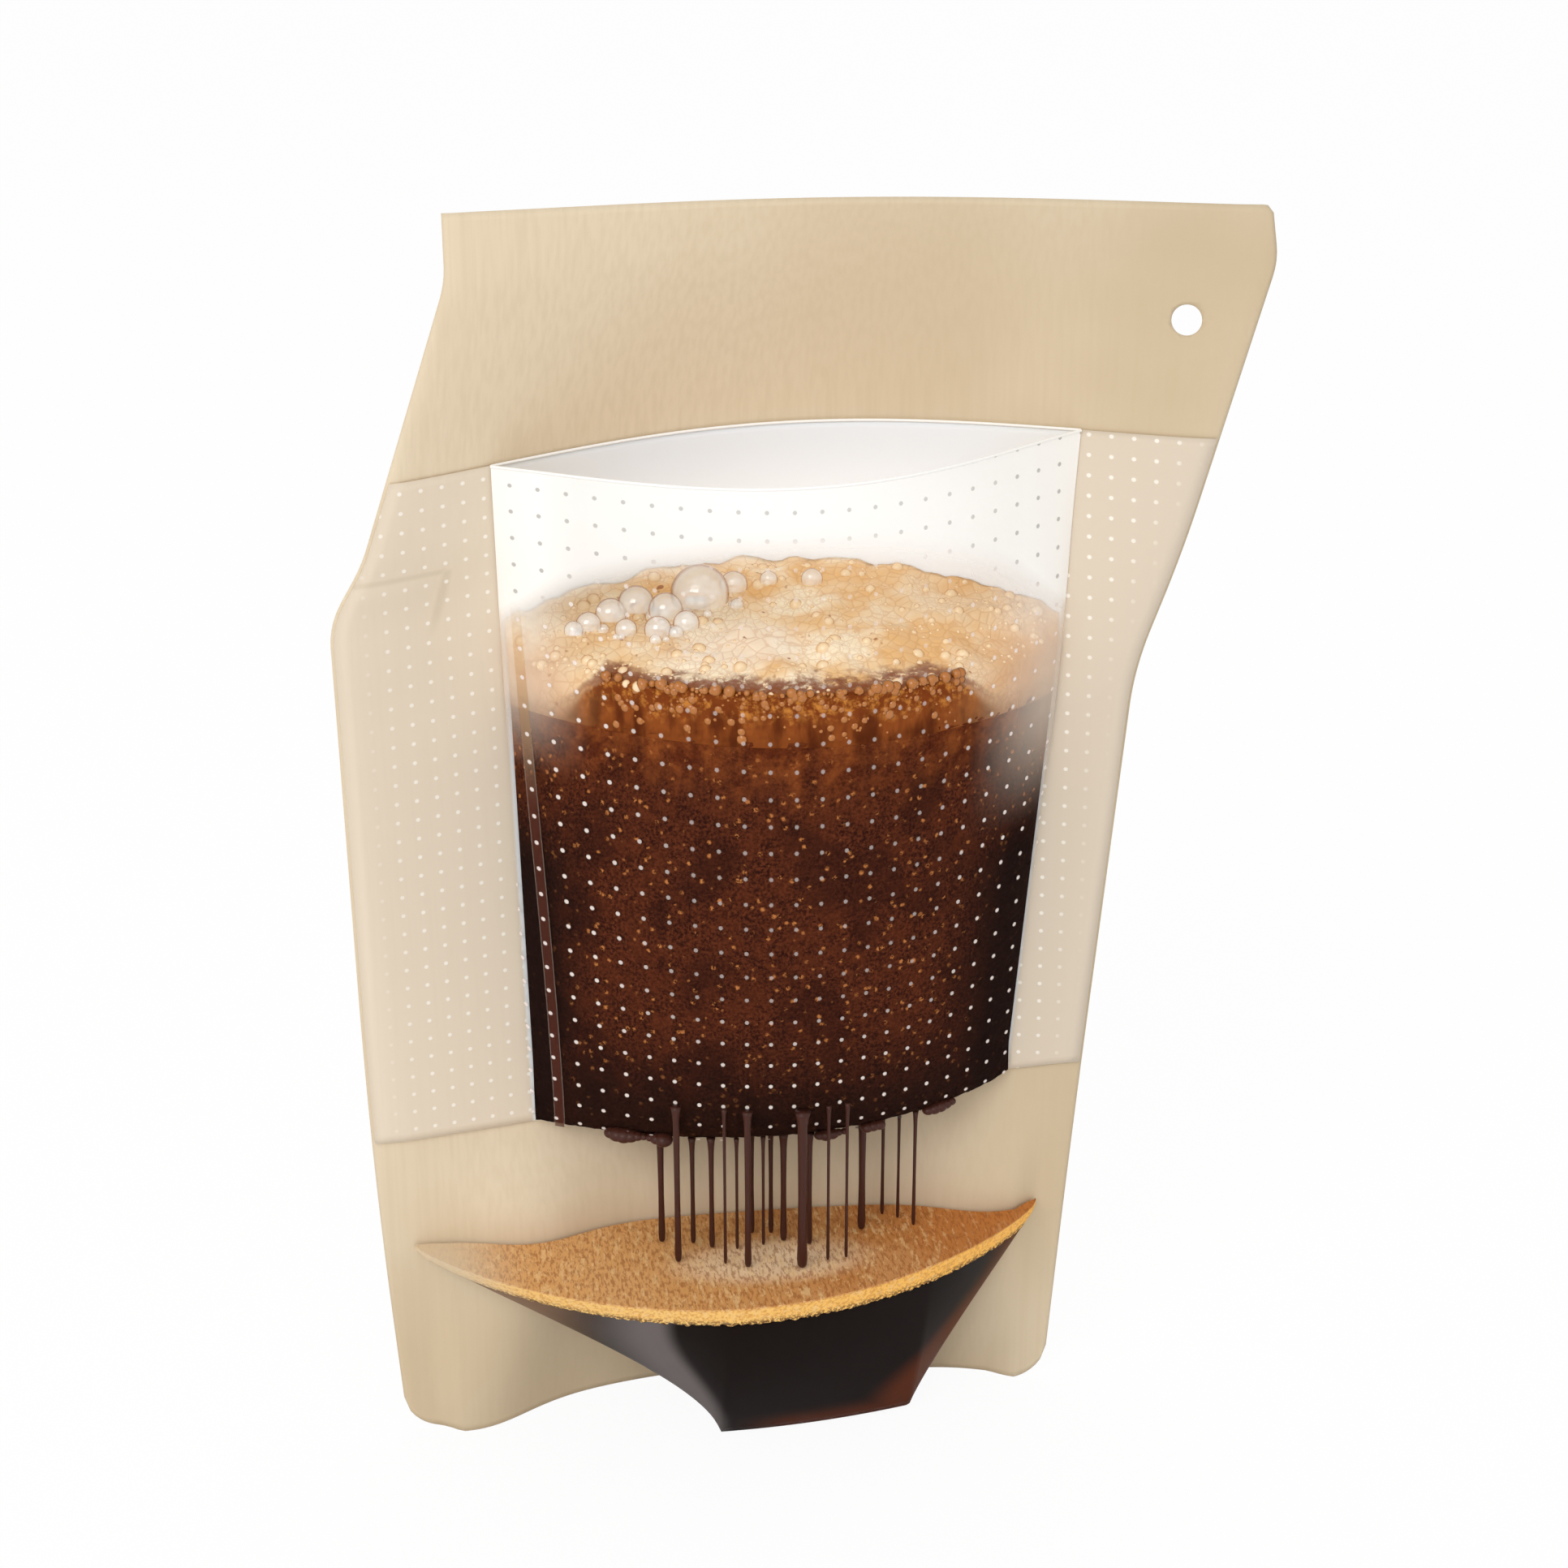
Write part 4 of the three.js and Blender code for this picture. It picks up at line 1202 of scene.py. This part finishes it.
def thread(node_name, stream):
    """A smooth stream in the place of a solid one, up to the pocket's underside."""
    low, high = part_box(node_name)
    x = (low.x + high.x) / 2 / MM
    y = (low.y + high.y) / 2 / MM - FRAME_SHIFT
    radius = (high.x - low.x) / 2 / MM / BELL
    top = high.z / MM
    top = clamp(under_pocket(x, y) + 0.4, top, top + THREAD_REACH)
    profile = thread_profile(low.z / MM, top)
    turns = np.linspace(0, 2 * np.pi, THREAD_SIDES, endpoint=False)
    points = []
    for share, z in profile:
        points += [(x + radius * share * math.cos(t), y + radius * share * math.sin(t), z) for t in turns]
    faces = []
    for j in range(len(profile) - 1):
        for i in range(THREAD_SIDES):
            a = j * THREAD_SIDES + i
            b = j * THREAD_SIDES + (i + 1) % THREAD_SIDES
            faces.append([a, b, b + THREAD_SIDES, a + THREAD_SIDES])
    faces.append(list(range(THREAD_SIDES - 1, -1, -1)))
    faces.append(list(range(len(points) - THREAD_SIDES, len(points))))
    piece_name = node_name.replace("drip", "thread")
    finish_piece(piece_name, points, faces, stream, [node_name])


def wet_beads(stream):
    """Coffee that clings in beads under the front of the pocket."""
    hung = []
    for first, count, mean, swing, pace in BEAD_RUNS:
        for k in range(count):
            x = first + BEAD_PITCH * k
            radius = mean + swing * math.sin(k * pace)
            share = (x - POCKET_BOTTOM_LEFT) / (POCKET_BOTTOM_RIGHT - POCKET_BOTTOM_LEFT)
            _, y, z = pocket_point(share, 1.4)
            hung.append((x, y, z - 0.2 * radius, radius))
    balls("wet_beads", hung, 3, stream, 0.75)


kraft_panel()
front_sheet()
base_fold()
filter_sheet()
pocket_sheet()
wet_grounds()
foam()
pools()
stream = stream_material()
for node_name in sorted(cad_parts):
    if node_name.startswith("drip_"):
        thread(node_name, stream)
wet_beads(stream)

# Floor, light and camera


def floor_material():
    s = Shade("floor")
    light = s.new("ShaderNodeLightPath")
    glow = s.new("ShaderNodeEmission")
    glow.inputs["Color"].default_value = (1, 1, 1, 1)
    plain = s.new("ShaderNodeBsdfDiffuse")
    plain.inputs["Color"].default_value = (0.96, 0.96, 0.96, 1)
    both = s.new("ShaderNodeMixShader")
    seen = Field(s.tree, light.outputs["Is Camera Ray"])
    plug(s.tree, both.inputs[0], seen * 0.94)
    s.tree.links.new(plain.outputs[0], both.inputs[1])
    s.tree.links.new(glow.outputs[0], both.inputs[2])
    return s.done(both.outputs[0])


REACH = 6.0
corners = [(-REACH, -REACH, 0), (REACH, -REACH, 0), (REACH, REACH, 0), (-REACH, REACH, 0)]
ground = bpy.data.meshes.new("floor")
ground.from_pydata(corners, [], [[0, 1, 2, 3]])
floor = bpy.data.objects.new("floor", ground)
floor.location.z = -0.0002
bpy.context.scene.collection.objects.link(floor)
floor.data.materials.append(floor_material())


def white_world():
    world = bpy.data.worlds.new("studio")
    bpy.context.scene.world = world
    world.use_nodes = True
    tree = world.node_tree
    tree.nodes.clear()
    path = tree.nodes.new("ShaderNodeLightPath")
    seen = Field(tree, path.outputs["Is Camera Ray"])
    seen = seen.most(Field(tree, path.outputs["Is Glossy Ray"]))
    seen = seen.most(Field(tree, path.outputs["Is Transmission Ray"]))
    soft = tree.nodes.new("ShaderNodeBackground")
    soft.inputs["Color"].default_value = (1, 1, 1, 1)
    soft.inputs["Strength"].default_value = 0.79
    white = tree.nodes.new("ShaderNodeBackground")
    white.inputs["Color"].default_value = (1, 1, 1, 1)
    white.inputs["Strength"].default_value = 1.0
    both = tree.nodes.new("ShaderNodeMixShader")
    plug(tree, both.inputs[0], seen)
    tree.links.new(soft.outputs[0], both.inputs[1])
    tree.links.new(white.outputs[0], both.inputs[2])
    out = tree.nodes.new("ShaderNodeOutputWorld")
    tree.links.new(both.outputs[0], out.inputs[0])


white_world()


def lamp(name, place, target, size, power):
    data = bpy.data.lights.new(name, "AREA")
    data.size = size
    data.energy = power
    light = bpy.data.objects.new(name, data)
    light.location = place
    light.rotation_euler = (Vector(target) - Vector(place)).to_track_quat("-Z", "Y").to_euler()
    bpy.context.scene.collection.objects.link(light)


lamp("key", (-0.9, -1.5, 1.5), (0.01, -0.01, 0.13), 1.2, 15.5)

TARGET = Vector((0.0112, FRAME_SHIFT * MM, 0.145))
AZIMUTH = math.radians(-8)
ELEVATION = math.radians(22)
DISTANCE = 0.52
camera_data = bpy.data.cameras.new("camera")
camera_data.lens = 60
camera_data.sensor_width = 36
camera_data.clip_start = 0.01
camera = bpy.data.objects.new("camera", camera_data)
away = Vector(
    (
        math.sin(AZIMUTH) * math.cos(ELEVATION),
        -math.cos(AZIMUTH) * math.cos(ELEVATION),
        math.sin(ELEVATION),
    )
)
camera.location = TARGET + away * DISTANCE
camera.rotation_euler = (-away).to_track_quat("-Z", "Y").to_euler()
bpy.context.scene.collection.objects.link(camera)
bpy.context.scene.camera = camera
bpy.context.scene.view_settings.view_transform = "Standard"
